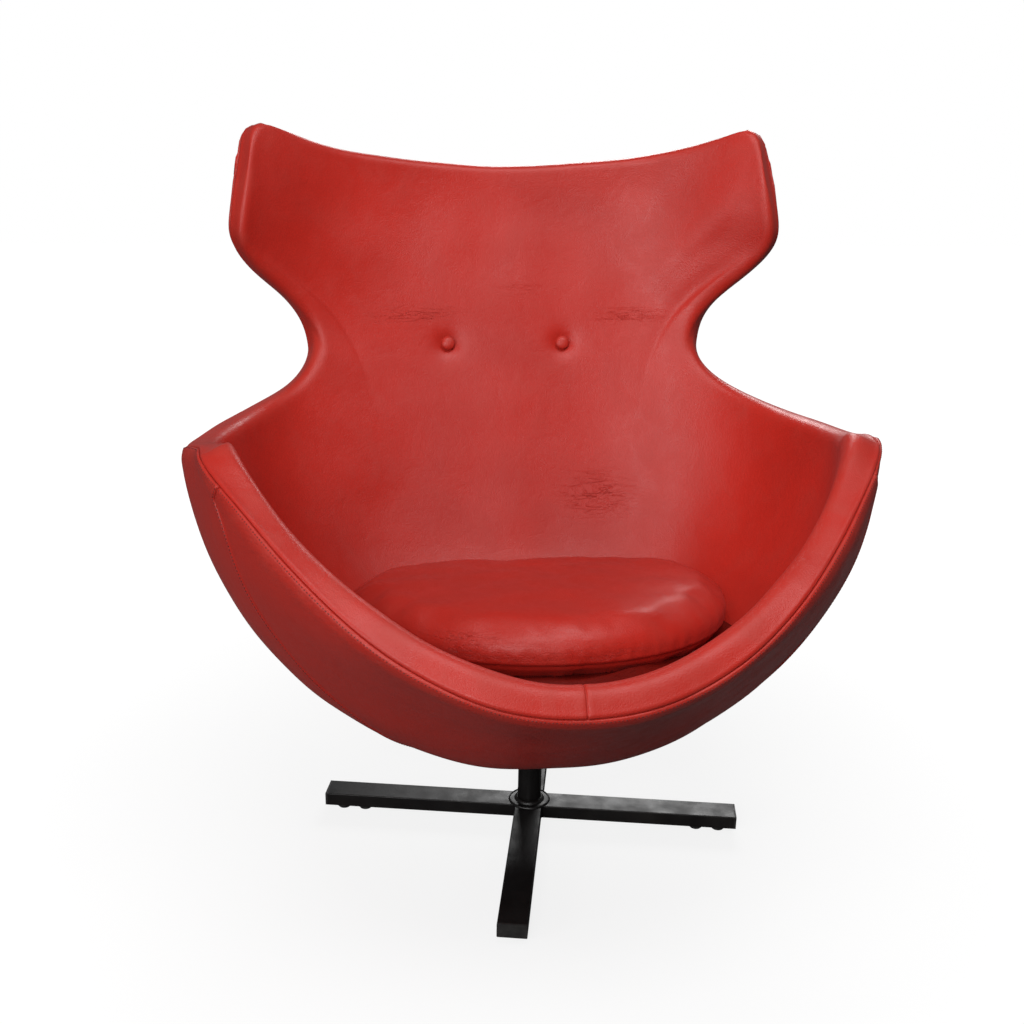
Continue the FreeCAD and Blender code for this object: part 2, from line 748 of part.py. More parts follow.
# ---------------------------------------------------------------- button fixings
def button_frame(side):
    """Place of a button on the bucket's surface, and the direction out of the back."""
    across = CENTRE
    for _ in range(4):
        along = bisect(0.4, 0.9, lambda place: (
            MIDDLE.value(place, across).z - outward(place, across).z * HALF
            < size("plate_top") + size("button_rise")))
        across = bisect(CENTRE, 1.0, lambda place: (
            MIDDLE.value(along, place).x < size("button_x")))
    if side < 0:
        across = 1 - across
    normal = outward(along, across)
    return MIDDLE.value(along, across) - normal * HALF, normal


def bar(start, direction, radius, length):
    """A round bar from a point along a direction."""
    return Part.makeCylinder(radius, length, start, direction)


BUTTON_FRAMES = [button_frame(side) for side in (-1, 1)]
BUTTON_BACK = size("button_recess") - size("button_fit")
TOGGLE_START = HALF + LAMINATE_OUT + GAP


def button_dome():
    """A domed button about Z, flat at the back."""
    rise = size("button_depth")
    radius = size("button_radius")
    sphere_radius = (radius ** 2 + rise ** 2) / (2 * rise)
    lean = math.asin(radius / sphere_radius) / 2
    rim, crown = Vector(radius, 0, 0), Vector(0, 0, rise)
    shoulder = Vector(sphere_radius * math.sin(lean), 0,
                      rise - sphere_radius + sphere_radius * math.cos(lean))
    outline = Part.Wire([Part.LineSegment(Vector(0, 0, 0), rim).toShape(),
                         Part.Arc(rim, shoulder, crown).toShape(),
                         Part.LineSegment(crown, Vector(0, 0, 0)).toShape()])
    return Part.Face(outline).revolve(Vector(0, 0, 0), Z_AXIS, 360)


twines = []
toggles = []
for side_name, (face, normal) in zip(("left", "right"), BUTTON_FRAMES):
    button = soft_part(f"button_{side_name}", button_dome())
    button.Placement = Placement(face + normal * BUTTON_BACK, Rotation(Z_AXIS, -normal))
    twines.append(bar(face + normal * BUTTON_BACK, normal, size("twine_radius"),
                      TOGGLE_START - BUTTON_BACK))
    toggles.append(bar(face + normal * TOGGLE_START, normal, size("toggle_radius"),
                       size("toggle_thickness")))
soft_part("button_twines", Part.makeCompound(twines))
soft_part("button_toggles", Part.makeCompound(toggles))


def with_button_holes(shape, radius, start=-2 * GAP, end=2 * HALF):
    """A layer with a round hole behind each button, between two depths from the face."""
    tools = [bar(face + normal * start, normal, radius, end - start)
             for face, normal in BUTTON_FRAMES]
    return shape.cut(tools)


# ---------------------------------------------------------------- layers of the shell
RECESS_RADIUS = size("button_radius") + size("button_fit")
TWINE_HOLE = size("twine_radius") + GAP
VENT = size("laminate_vent")

cover_face = layer_rows(nose(0, -GAP / 2, -HALF), -HALF, size("cover_opening"))
cover_back = layer_rows(nose(COVER, -GAP / 2, COVER - HALF), COVER - HALF, size("cover_opening"))
inner_cover = with_button_holes(sheet_solid(cover_face, cover_back), RECESS_RADIUS)
soft_part("inner_cover", inner_cover)

lining_face = layer_rows(nose(COVER + GAP, 0, -LINING), -LINING, VENT)
lining_turn = size("laminate_inset") - 2 * GAP
lining_back = layer_rows(wrapped_edge(COVER + GAP, lining_turn, LAMINATE_IN - GAP),
                         LAMINATE_IN - GAP, VENT)
lining = sheet_solid(lining_face, lining_back)
lining = with_button_holes(lining, RECESS_RADIUS, end=size("button_recess"))
soft_part("inner_foam", with_button_holes(lining, TWINE_HOLE))

laminate_face = layer_rows(flat_edge(size("laminate_inset"), LAMINATE_IN), LAMINATE_IN, VENT)
laminate_back = layer_rows(flat_edge(size("laminate_inset"), LAMINATE_OUT), LAMINATE_OUT, VENT)
laminate = sheet_solid(laminate_face, laminate_back)
soft_part("fibreglass_shell", with_button_holes(laminate, size("twine_hole")))

foam_back = layer_rows(nose(size("outer_foam_inset"), LAMINATE_OUT + GAP, LINING), LINING,
                       BASE_OPENING)
foam_face = layer_rows(flat_edge(size("outer_foam_inset"), LAMINATE_OUT + GAP),
                       LAMINATE_OUT + GAP, BASE_OPENING)
outer_foam = with_button_holes(sheet_solid(foam_back, foam_face),
                               size("toggle_radius") + GAP,
                               start=TOGGLE_START - 2 * GAP,
                               end=TOGGLE_START + size("toggle_thickness") + GAP)
soft_part("outer_foam", outer_foam)


def ring_share(turn):
    """Where a place on the rim falls along the ring of rows, which starts at the front middle."""
    turn = (turn - TURNS[0]) % 4 + TURNS[0]
    later = next(k for k, spot in enumerate(TURNS + [TURNS[0] + 4]) if spot > turn)
    before, after = (TURNS + [TURNS[0] + 4])[later - 1:later + 1]
    return (later - 1 + (turn - before) / (after - before)) / len(TURNS)


panel_face = layer_rows(nose(0, GAP / 2, HALF), HALF, BASE_OPENING)
panel_back = layer_rows(nose(COVER, GAP / 2, HALF - COVER), HALF - COVER, BASE_OPENING)


def outer_panel(start, end):
    """Part of the outer cover, between two seams at places round the rim."""
    pitch = panel_face[0][11].distanceToPoint(panel_face[0][13]) / 2
    half_gap = GAP / 2 / pitch / len(TURNS)
    first, last = ring_share(start) + half_gap, ring_share(end) - half_gap
    if last < first:
        last += 1
    faces = []
    for rows in (panel_face, panel_back):
        surface = spline_surface(rows, True)
        surface.segment(0, 1, first, last)
        faces.append(surface)
    walls = []
    for curves in ([surface.uIso(0) for surface in faces], [surface.uIso(1) for surface in faces],
                   [surface.vIso(first) for surface in faces],
                   [surface.vIso(last) for surface in faces]):
        walls.append(Part.makeRuledSurface(*[curve.toShape() for curve in curves]))
    return sewn_solid([surface.toShape() for surface in faces] + walls)


SEAM = size("facing_seam")
soft_part("front_facing", outer_panel(-SEAM, 1 + SEAM))
soft_part("rear_cover", outer_panel(1 + SEAM, 4 - SEAM))


# ---------------------------------------------------------------- base block
def ring_rows(radii, level, floor=None):
    """Rings of poles at set radii about the swivel axis, on the shell or at a floor height."""
    rows = []
    for radius in radii:
        row = [ray_point(end, opening_fraction(end, radius, level), level) for end in ENDS]
        if floor is not None:
            row = [Vector(p.x, p.y, floor) for p in row]
        rows.append(row)
    return sharpened(rows)


BLOCK_STEPS = 6
block_radii = [size("block_radius") + (VENT - size("block_radius")) * step / BLOCK_STEPS
               for step in range(BLOCK_STEPS + 1)]
block_top = ring_rows(block_radii, LAMINATE_OUT + GAP)
block_foot = [[Vector(p.x, p.y, size("plate_top")) for p in row] for row in block_top]
insert_holes = [Part.makeCylinder(size("insert_radius") + size("insert_fit"),
                                  size("bolt_length"),
                                  Vector(size("bolt_spacing") / 2 * across,
                                         size("bolt_spacing") / 2 * along,
                                         size("plate_top")))
                for across, along in BOLT_PLACES]
soft_part("base_block", sheet_solid(block_top, block_foot).cut(insert_holes))

# ---------------------------------------------------------------- seat deck
UNDER_DECK = -HALF - size("deck_gap")
DECK_LEVEL = size("plate_top") + size("deck_rise")
DECK_SLOPE = math.tan(math.radians(size("deck_tilt")))


def above_deck(point):
    """Height of a point above the deck's plane."""
    return point.z - DECK_LEVEL + DECK_SLOPE * point.y


def deck_fraction(end, level, lift):
    """How far out along a ray the offset surface reaches the deck's plane plus lift."""
    return bisect(0.0, 0.9, lambda fraction: (
        above_deck(ray_point(end, fraction, level)) < lift))


def plane_rows(edge, lift, count=4):
    """Rows on the deck's plane, from an edge ring in to the vent."""
    hub = [Vector(0, 0, DECK_LEVEL + lift)] * len(edge)
    rows = []
    for step in range(count + 1):
        share = step / count
        row = []
        for point, centre in zip(edge, hub):
            reach = point - centre
            inner = reach * (VENT / reach.Length)
            row.append(centre + reach * (1 - share) + inner * share)
        rows.append(row)
    return rows


def deck_edge(lift):
    """Where the deck's plane plus lift meets the bucket cover."""
    return [ray_point(end, deck_fraction(end, UNDER_DECK, lift), UNDER_DECK) for end in ENDS]


edge = deck_edge(0)
DECK_STEPS = 14
deck_foot = []
for step in range(DECK_STEPS + 1):
    share = step / DECK_STEPS
    row = []
    for end in ENDS:
        outer = deck_fraction(end, UNDER_DECK, 0)
        inner = opening_fraction(end, VENT, UNDER_DECK)
        row.append(ray_point(end, outer + (inner - outer) * share, UNDER_DECK))
    deck_foot.append(row)
soft_part("deck_foam", sheet_solid(plane_rows(edge, 0), deck_foot))
cloth_top = deck_edge(COVER + GAP)
cloth_foot = deck_edge(GAP)
soft_part("deck_cover", sheet_solid(plane_rows(cloth_top, COVER + GAP),
                                    plane_rows(cloth_foot, GAP)))


# ---------------------------------------------------------------- loose cushion
def draw_cushion(sketch, inset):
    """A D: a straight back and sides, round corners and a half circle along the front."""
    half = f"cushion_side_reach - half_thickness - ({inset})"
    back = f"cushion_back_reach - half_thickness - ({inset})"
    front = f"cushion_front_reach - half_thickness - ({inset})"
    corner = f"cushion_corner - ({inset})"
    side, rear, turn = value(half), value(back), value(corner)
    waist = side - value(front)
    slant = turn * math.sqrt(0.5)
    left_side = sketch.addGeometry(Part.LineSegment(
        Vector(-side, rear - turn), Vector(-side, waist)), False)
    bow = sketch.addGeometry(Part.Arc(
        Vector(-side, waist), Vector(0, waist - side), Vector(side, waist)), False)
    right_side = sketch.addGeometry(Part.LineSegment(
        Vector(side, waist), Vector(side, rear - turn)), False)
    right_turn = sketch.addGeometry(Part.Arc(
        Vector(side, rear - turn), Vector(side - turn + slant, rear - turn + slant),
        Vector(side - turn, rear)), False)
    rear_line = sketch.addGeometry(Part.LineSegment(
        Vector(side - turn, rear), Vector(turn - side, rear)), False)
    left_turn = sketch.addGeometry(Part.Arc(
        Vector(turn - side, rear), Vector(turn - side - slant, rear - turn + slant),
        Vector(-side, rear - turn)), False)
    outline = [left_side, bow, right_side, right_turn, rear_line, left_turn]
    for before, after in zip(outline, outline[1:] + outline[:1]):
        sketch.addConstraint(Sketcher.Constraint("Tangent", before, 2, after, 1))
    sketch.addConstraint(Sketcher.Constraint("Vertical", left_side))
    bind(sketch, "DistanceX", half, -1, 1, right_side, 1)
    bind(sketch, "DistanceX", half, left_side, 2, -1, 1)
    bind(sketch, "DistanceY", back, -1, 1, rear_line, 1)
    bind(sketch, "DistanceY", f"({front}) - ({half})", bow, 3, -1, 1)
    bind(sketch, "Radius", corner, right_turn)
    bind(sketch, "Radius", corner, left_turn)


def cushion_block(name, inset):
    """A D-shaped block with rounded edges, drawn level and then tilted on to the deck."""
    body = doc.addObject("PartDesign::Body", name)
    sketch = new_sketch(body, "XY_Plane", name + "_outline", f"rest_gap + {inset}")
    draw_cushion(sketch, inset)
    block = pad(body, sketch, f"cushion_thickness - 2 * ({inset})", name + "_block")
    rims = [f"Edge{index}" for index, edge in enumerate(block.Shape.Edges, 1)
            if edge.BoundBox.ZLength < 0.01]
    rounding = body.newObject("PartDesign::Fillet", name + "_rounding")
    rounding.Base = (block, rims)
    rounding.setExpression("Radius", bound(f"cushion_round - ({inset})"))
    doc.recompute()
    return on_deck(body)


def on_deck(thing):
    """Tilt a piece drawn about the swivel axis on to the top of the deck's cloth."""
    thing.Placement = Placement(Vector(0, 0, 0), Rotation(X_AXIS, -size("deck_tilt")))
    thing.setExpression("Placement.Rotation.Angle", bound("-1 * deck_tilt"))
    thing.setExpression("Placement.Base.z", bound("plate_top + deck_rise + cover_thickness + layer_gap"))
    return thing


skin_outside = cushion_block("cushion_outside", "0")
skin_inside = cushion_block("cushion_inside", "cover_thickness")
sub_part(cut("cushion_cover", skin_outside, skin_inside), "cushion_cover")
sub_part(cushion_block("cushion_foam", "cover_thickness + layer_gap"), "cushion_foam")


def on_back_wall(name, long, proud, tall, stand_off, aside="0"):
    """A small piece on the middle of the cushion's straight back wall."""
    body = doc.addObject("PartDesign::Body", name)
    sketch = new_sketch(body, "XY_Plane", name + "_outline",
                        f"rest_gap + cushion_thickness / 2 - {tall} / 2")
    draw_rectangle(sketch, long, proud,
                   f"cushion_back_reach - half_thickness + {stand_off} + {proud} / 2", aside)
    pad(body, sketch, tall, name + "_block")
    return sub_part(on_deck(body), name)


on_back_wall("zip_tape", "zip_length", "zip_proud", "zip_width", "slider_gap")
on_back_wall("zip_slider", "slider_length", "slider_thickness", "slider_width",
             "zip_proud + 2 * slider_gap", "slider_length - zip_length / 2")

doc.recompute()
problems = [thing.Name for thing in doc.Objects
            if "Invalid" in thing.State or "Error" in thing.State]
for thing in SUB_PARTS:
    if thing.Shape.isNull() or not thing.Shape.isValid():
        problems.append(thing.Label)
print("problems", problems)
if problems:
    raise RuntimeError(f"failed: {problems}")
for thing in SUB_PARTS:
    thing.Shape.exportStep(f"parts/{thing.Label}.step")
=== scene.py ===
"""Winged swivel lounge chair: upholstered bucket, loose seat cushion and four-leg swivel base."""
import json

import bmesh
import bpy
import numpy as np
from mathutils import Matrix, Vector

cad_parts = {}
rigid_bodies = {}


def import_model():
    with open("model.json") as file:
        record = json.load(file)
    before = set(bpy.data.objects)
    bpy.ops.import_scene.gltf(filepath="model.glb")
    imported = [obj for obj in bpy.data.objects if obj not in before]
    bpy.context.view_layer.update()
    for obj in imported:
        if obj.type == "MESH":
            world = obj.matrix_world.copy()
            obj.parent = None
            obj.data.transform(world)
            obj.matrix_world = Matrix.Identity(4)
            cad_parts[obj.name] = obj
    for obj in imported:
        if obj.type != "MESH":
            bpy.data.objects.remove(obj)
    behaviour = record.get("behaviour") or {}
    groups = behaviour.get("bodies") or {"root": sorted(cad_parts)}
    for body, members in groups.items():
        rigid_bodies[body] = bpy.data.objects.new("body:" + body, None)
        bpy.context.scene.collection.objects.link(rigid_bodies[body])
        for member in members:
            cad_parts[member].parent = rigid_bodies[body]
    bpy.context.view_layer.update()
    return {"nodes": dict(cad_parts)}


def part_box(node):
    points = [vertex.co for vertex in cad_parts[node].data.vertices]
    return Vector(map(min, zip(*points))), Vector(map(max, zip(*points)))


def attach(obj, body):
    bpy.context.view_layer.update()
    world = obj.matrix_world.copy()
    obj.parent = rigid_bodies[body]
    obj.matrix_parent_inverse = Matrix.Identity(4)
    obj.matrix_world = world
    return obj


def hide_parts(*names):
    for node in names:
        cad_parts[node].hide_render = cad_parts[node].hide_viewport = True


for leftover in list(bpy.data.objects):
    bpy.data.objects.remove(leftover)
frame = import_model()
scene = bpy.context.scene

# ---------------------------------------------------------------- studio
# A pale seamless floor in a bright room: soft lights overhead, in front, behind and low at left.
# The floor keeps the chair's shadow and runs out to white; its glow for camera rays is weaker near
# the chair, a painted shade round it.
scene.view_settings.view_transform = "Standard"
CAMERA_PLACE = Vector((-0.2455, -1.6109, 1.006))
CAMERA_DOWN, CAMERA_ROLL, CAMERA_YAW = np.radians((18.77, 0.91, -7.31))
camera_data = bpy.data.cameras.new("camera")
camera_data.lens = 42.96
camera_data.sensor_width = 36
camera_data.shift_x, camera_data.shift_y = 0.0039, 0.0234
camera = bpy.data.objects.new("camera", camera_data)
scene.collection.objects.link(camera)
camera.matrix_world = (Matrix.Translation(CAMERA_PLACE) @ Matrix.Rotation(CAMERA_YAW, 4, "Z")
                       @ Matrix.Rotation(np.pi / 2 - CAMERA_DOWN, 4, "X")
                       @ Matrix.Rotation(CAMERA_ROLL, 4, "Z"))
scene.camera = camera


def lamp(name, place, aim, width, depth, watts):
    """A soft box of this size at a place, turned to a point."""
    light = bpy.data.lights.new(name, "AREA")
    light.shape = "RECTANGLE"
    light.size, light.size_y, light.energy = width, depth, watts
    holder = bpy.data.objects.new(name, light)
    scene.collection.objects.link(holder)
    holder.location = place
    holder.rotation_euler = (Vector(aim) - Vector(place)).to_track_quat("-Z", "Y").to_euler()


lamp("overhead", (0.1, -0.8, 2.6), (0, 0, 0.5), 2.0, 1.2, 37)
lamp("front_left", (-1.1, -2.8, 2.0), (0, 0, 0.55), 1.4, 1.0, 50)
lamp("behind", (0.9, 2.7, 2.1), (0, 0.1, 0.5), 1.6, 1.0, 45)
lamp("low_left", (-2.2, -1.6, 0.9), (-0.2, -0.2, 0.45), 0.9, 0.7, 18)


def node(tree, kind, feeds=(), **settings):
    """A shader node with settings, and inputs given as sockets to link or values to set."""
    made = tree.nodes.new("ShaderNode" + kind)
    for key, setting in settings.items():
        setattr(made, key, setting)
    for key, feed in dict(feeds).items():
        if isinstance(feed, bpy.types.NodeSocket):
            tree.links.new(feed, made.inputs[key])
        else:
            made.inputs[key].default_value = feed
    return made


def seen_directly(tree, mirrored):
    """1 for camera and glass rays, mirrored for mirror rays, 0 for the light on things."""
    rays = node(tree, "LightPath")
    mirror = node(tree, "Math", {0: rays.outputs["Is Glossy Ray"], 1: mirrored},
                  operation="MULTIPLY")
    first = node(tree, "Math", {0: rays.outputs["Is Camera Ray"], 1: mirror.outputs[0]},
                 operation="MAXIMUM")
    return node(tree, "Math", {0: first.outputs[0], 1: rays.outputs["Is Transmission Ray"]},
                operation="MAXIMUM").outputs[0]


room = bpy.data.worlds.new("room")
scene.world = room
room.use_nodes = True
room_light = room.node_tree.nodes["Background"]
room_level = node(room.node_tree, "MapRange",
                  {"Value": seen_directly(room.node_tree, 0.04), "To Min": 0.10, "To Max": 1.0})
room.node_tree.links.new(room_level.outputs[0], room_light.inputs["Strength"])
room_light.inputs["Color"].default_value = (1, 1, 1, 1)

floor_mesh = bpy.data.meshes.new("floor")
floor_mesh.from_pydata([(-9, -9, 0), (9, -9, 0), (9, 9, 0), (-9, 9, 0)], [], [(0, 1, 2, 3)])
floor = bpy.data.objects.new("floor", floor_mesh)
scene.collection.objects.link(floor)
floor_paint = bpy.data.materials.new("pale_floor")
floor_paint.use_nodes = True
floor_tree = floor_paint.node_tree
floor_shader = floor_tree.nodes["Principled BSDF"]
floor_shader.inputs["Base Color"].default_value = (0.10, 0.10, 0.10, 1)
floor_shader.inputs["Roughness"].default_value = 0.9
from_chair = node(floor_tree, "VectorMath", {0: node(floor_tree, "TexCoord").outputs["Object"]},
                  operation="LENGTH").outputs["Value"]
# painted shade: the camera-ray glow is 0.84 within 0.3 m of the chair, rising to 1 at 1.6 m
glow_dimmed_as_painted_shade = node(floor_tree, "MapRange", {"Value": from_chair, "From Min": 0.3, "From Max": 1.6,
                                            "To Min": 0.84, "To Max": 1.0})
floor_glow = node(floor_tree, "Math", {0: seen_directly(floor_tree, 0.0),
                                       1: glow_dimmed_as_painted_shade.outputs[0]},
                  operation="MULTIPLY")
floor_shader.inputs["Emission Color"].default_value = (1, 1, 1, 1)
floor_tree.links.new(floor_glow.outputs[0], floor_shader.inputs["Emission Strength"])
floor_mesh.materials.append(floor_paint)

# ---------------------------------------------------------------- legs, hub, column and welds
# Rectangular steel tubes welded to a turned hub, with the column welded in the middle, all
# powder coated black in one piece: satin, with a faint orange peel and a little dust.


def finish(name, colour, roughness, metal=0.0, specular=0.5):
    """A new material: its node tree, its shader and Object coordinates."""
    material = bpy.data.materials.new(name)
    material.use_nodes = True
    tree = material.node_tree
    shader = tree.nodes["Principled BSDF"]
    shader.inputs["Base Color"].default_value = (*colour, 1)
    shader.inputs["Roughness"].default_value = roughness
    shader.inputs["Metallic"].default_value = metal
    shader.inputs["Specular IOR Level"].default_value = specular
    return material, tree, shader, node(tree, "TexCoord").outputs["Object"]


def noise(tree, place, scale, detail, distortion=0.0, stretch=(1, 1, 1)):
    """Noise of this many grains a metre; stretch squeezes it along an axis."""
    moved = node(tree, "Mapping", {"Vector": place, "Scale": stretch})
    return node(tree, "TexNoise", {"Vector": moved.outputs[0], "Scale": scale, "Detail": detail,
                                   "Distortion": distortion}).outputs["Fac"]


def between(tree, value, low, high, start=0.0, end=1.0, steps="SMOOTHSTEP"):
    """Value from low..high taken to start..end."""
    return node(tree, "MapRange", {"Value": value, "From Min": low, "From Max": high,
                                   "To Min": start, "To Max": end},
                interpolation_type=steps).outputs[0]


def blended(tree, share, one, other):
    """One colour where share is 0, the other where it is 1."""
    mix = node(tree, "Mix", {0: share}, data_type="RGBA")
    for key, colour in ((6, one), (7, other)):
        if isinstance(colour, bpy.types.NodeSocket):
            tree.links.new(colour, mix.inputs[key])
        else:
            mix.inputs[key].default_value = (*colour, 1)
    return mix.outputs[2]


def product(tree, one, other):
    """Two values multiplied."""
    return node(tree, "Math", {0: one, 1: other}, operation="MULTIPLY").outputs[0]


def bumps(tree, shader, *layers):
    """Bump layers (height, metres) laid one on another."""
    last = None
    for height, depth in layers:
        feeds = {"Height": height, "Distance": depth, "Strength": 1.0}
        if last:
            feeds["Normal"] = last
        last = node(tree, "Bump", feeds).outputs[0]
    tree.links.new(last, shader.inputs["Normal"])


def mottled(name, colour, roughness, tones, gloss, *grains, metal=0.0, specular=0.5):
    """A finish that varies with noises, each given as what follows place in noise(): tones
    (noise, low, high, one, other) for colour, gloss (noise, smooth, rough) for roughness as its
    noise goes from 0.3 to 0.7, and grains (noise, metres) for bumps."""
    material, tree, shader, place = finish(name, colour, roughness, metal, specular)
    spots, low, high, one, other = tones
    share = between(tree, noise(tree, place, *spots), low, high)
    tree.links.new(blended(tree, share, one, other), shader.inputs["Base Color"])
    haze, smooth, rough = gloss
    tree.links.new(between(tree, noise(tree, place, *haze), 0.3, 0.7, smooth, rough),
                   shader.inputs["Roughness"])
    bumps(tree, shader, *[(noise(tree, place, *grain), depth) for grain, depth in grains])
    return material


def dress(material, slot, *names):
    """Give CAD nodes a material; the slot is not used."""
    for name in names:
        thing = frame["nodes"][name]
        thing.data.materials.clear()
        thing.data.materials.append(material)


PLACES = ("right", "rear", "left", "front")
powder = mottled("black_powder_coat", (0.011, 0.010, 0.010), 0.4,
                 ((9, 6, 0.4), 0.45, 0.75, (0.006, 0.005, 0.005), (0.013, 0.011, 0.010)),
                 ((30, 5), 0.33, 0.5), ((420, 2), 0.00012), ((1500, 1), 0.00003), specular=0.35)
dress(powder, "black_steel", *[f"leg_{where}" for where in PLACES], "hub", "column",
      "seat_plate")

# The welds are two rings of hand-laid bead, coated with the rest: rippled where each puddle
# froze against the last.


def grid_faces(rows, columns, rows_closed=False, columns_closed=False):
    """Quads of a grid of points, row by row; a closed direction joins its end to its start."""
    row = np.arange(rows if rows_closed else rows - 1)[:, None]
    column = np.arange(columns if columns_closed else columns - 1)[None, :]
    after_row, after_column = (row + 1) % rows, (column + 1) % columns
    corners = [row * columns + column, row * columns + after_column,
               after_row * columns + after_column, after_row * columns + column]
    return np.stack(np.broadcast_arrays(*corners), -1).reshape(-1, 4)


def piece(name, points, faces, material, body, smooth=True):
    """A new piece from points in metres and faces; it rides on a body."""
    mesh = bpy.data.meshes.new(name)
    mesh.from_pydata(np.asarray(points).reshape(-1, 3).tolist(), [], [list(f) for f in faces])
    mesh.validate()
    mesh.polygons.foreach_set("use_smooth", np.full(len(mesh.polygons), smooth))
    mesh.materials.append(material)
    thing = bpy.data.objects.new(name, mesh)
    scene.collection.objects.link(thing)
    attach(thing, body)
    return thing


BEAD_AROUND, BEAD_ACROSS = 240, 9


def weld_bead(name, cad_name, inner, height, width):
    """A ring whose section is a bulging quarter: out by a power of a sine, up with the share
    across, and both rippled by sines of the angle that lean along the run."""
    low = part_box(cad_name)[0]
    around = np.linspace(0, 2 * np.pi, BEAD_AROUND, endpoint=False)[None, :]
    across = np.linspace(0, 1, BEAD_ACROSS)[:, None]
    ripple = 1 + 0.09 * np.abs(np.sin(17 * around + 5 * across)) + 0.05 * np.sin(3 * around)
    bulge = np.sin(np.pi * across) ** 0.7
    out = inner + (1 - across) * width * ripple + 0.35 * width * bulge * ripple * across
    up = low.z + across * height * ripple ** 0.5
    top = np.stack([out * np.cos(around), out * np.sin(around), up + 0 * around], -1)
    foot = np.stack([inner * np.cos(around), inner * np.sin(around), low.z + 0 * around], -1)
    points = np.concatenate([top, foot])
    made = piece(name, points, grid_faces(len(points), BEAD_AROUND, True, True), powder,
                 "base")
    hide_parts(cad_name)


weld_bead("column_weld_bead", "column_weld", 0.0176, 0.0045, 0.0048)
weld_bead("hub_weld_bead", "hub_weld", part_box("hub")[1].x + 0.0001, 0.0026, 0.0026)

# ---------------------------------------------------------------- end caps, glides, base plug
# Black moulded caps with a fine spark texture, and domed grey-black glides pushed into holes in
# the legs' undersides; a moulded plug shuts the column's foot.
moulded = mottled("black_moulding", (0.016, 0.015, 0.015), 0.55,
                  ((60, 4), 0.35, 0.7, (0.013, 0.012, 0.012), (0.028, 0.026, 0.025)),
                  ((200, 3), 0.46, 0.64), ((2600, 2), 0.00006))
dress(moulded, "black_plastic", *[f"end_cap_{where}" for where in PLACES], "base_plug")

glide_plastic = mottled("glide_plastic", (0.035, 0.034, 0.034), 0.5,
                        ((90, 5), 0.4, 0.7, (0.024, 0.023, 0.023), (0.07, 0.066, 0.06)),
                        ((400, 4), 0.4, 0.62), ((1200, 3), 0.00008))
GLIDE_AROUND = 40


def capped_faces(rows, around):
    """Faces of rings one on another: a grid closed round, and one face over each end."""
    return (grid_faces(rows, around, False, True).tolist()
            + [list(range(around - 1, -1, -1)), list(range((rows - 1) * around, rows * around))])


def glide_dome(where, which):
    """A turned profile of (radius, height) pairs: flat worn pad, dome, brim with a rounded lip
    and stem, each pair carried round the middle by the angle's cosine and sine."""
    cad_name = f"glide_{where}_{which}"
    low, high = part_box(cad_name)
    centre = (low + high) / 2
    radius = (high.x - low.x) / 2
    profile = np.array([(0.0003, 0), (0.35 * radius, 0), (0.52 * radius, 0.0003),
                        (0.7 * radius, 0.0016), (0.84 * radius, 0.0038),
                        (0.94 * radius, 0.0068), (0.985 * radius, 0.0092), (radius, 0.0104),
                        (radius, 0.0113), (0.975 * radius, 0.0118), (0.34 * radius, 0.0119),
                        (0.32 * radius, high.z), (0.0003, high.z)])
    around = np.linspace(0, 2 * np.pi, GLIDE_AROUND, endpoint=False)
    points = np.stack([centre.x + profile[:, :1] * np.cos(around),
                       centre.y + profile[:, :1] * np.sin(around),
                       profile[:, 1:] + 0 * around], -1)
    made = piece(f"glide_dome_{where}_{which}", points,
                 capped_faces(len(profile), GLIDE_AROUND), glide_plastic, "base")
    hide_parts(cad_name)


for where in PLACES:
    for which in ("outer", "inner"):
        glide_dome(where, which)

# ---------------------------------------------------------------- swivel bearing and fasteners
# Turned steel spindle and washers, nylon bushes, and zinc-plated bolts from below: bright metal
# with lathe marks and a little grease, cream nylon with a waxy surface.
LATHE_MARKS = (60, 4, 0.0, (1, 1, 40))
steel = mottled("turned_steel", (0.5, 0.5, 0.51), 0.34,
                ((25, 5), 0.4, 0.7, (0.56, 0.56, 0.57), (0.33, 0.31, 0.28)),
                (LATHE_MARKS, 0.26, 0.45), (LATHE_MARKS, 0.00005), metal=1.0)
dress(steel, "bare_steel", "spindle", "circlip", "retaining_washer", "plate_bolts",
      "bolt_washers", "threaded_inserts", "button_toggles")

nylon = mottled("cream_nylon", (0.72, 0.69, 0.6), 0.42,
                ((40, 4), 0.4, 0.75, (0.74, 0.71, 0.62), (0.6, 0.56, 0.46)),
                ((300, 3), 0.36, 0.5), ((900, 3), 0.00005))
dress(nylon, "nylon", "upper_bush", "lower_bush", "thrust_washer")

# ---------------------------------------------------------------- fibreglass shell and base block
# A hand-laid fibreglass tub carries the padding; a plywood block glued under it takes the seat
# plate's bolts. Both are hidden in the finished chair, apart from the block's underside.
STRANDS = (130, 6, 1.5, (1, 1, 3))
laminate = mottled("laid_fibreglass", (0.62, 0.6, 0.5), 0.5,
                   (STRANDS, 0.4, 0.65, (0.55, 0.53, 0.42), (0.74, 0.72, 0.63)),
                   (STRANDS, 0.4, 0.65), (STRANDS, 0.0005))
dress(laminate, "fibreglass", "fibreglass_shell")

plywood, tree, shader, place = finish("birch_plywood", (0.55, 0.4, 0.24), 0.62)
plies = node(tree, "TexWave", {"Vector": place, "Scale": 110, "Distortion": 1.2,
                               "Detail": 2.0}, bands_direction="Z").outputs["Fac"]
figure = noise(tree, place, 30, 5, 1.0, stretch=(1, 14, 1))
ply_colour = blended(tree, between(tree, plies, 0.4, 0.6), (0.62, 0.46, 0.29),
                     (0.38, 0.25, 0.14))
tree.links.new(blended(tree, between(tree, figure, 0.3, 0.8, 0, 0.5), ply_colour,
                       (0.33, 0.21, 0.11)), shader.inputs["Base Color"])
tree.links.new(between(tree, figure, 0.3, 0.7, 0.52, 0.75), shader.inputs["Roughness"])
bumps(tree, shader, (figure, 0.0002))
dress(plywood, "plywood", "base_block")

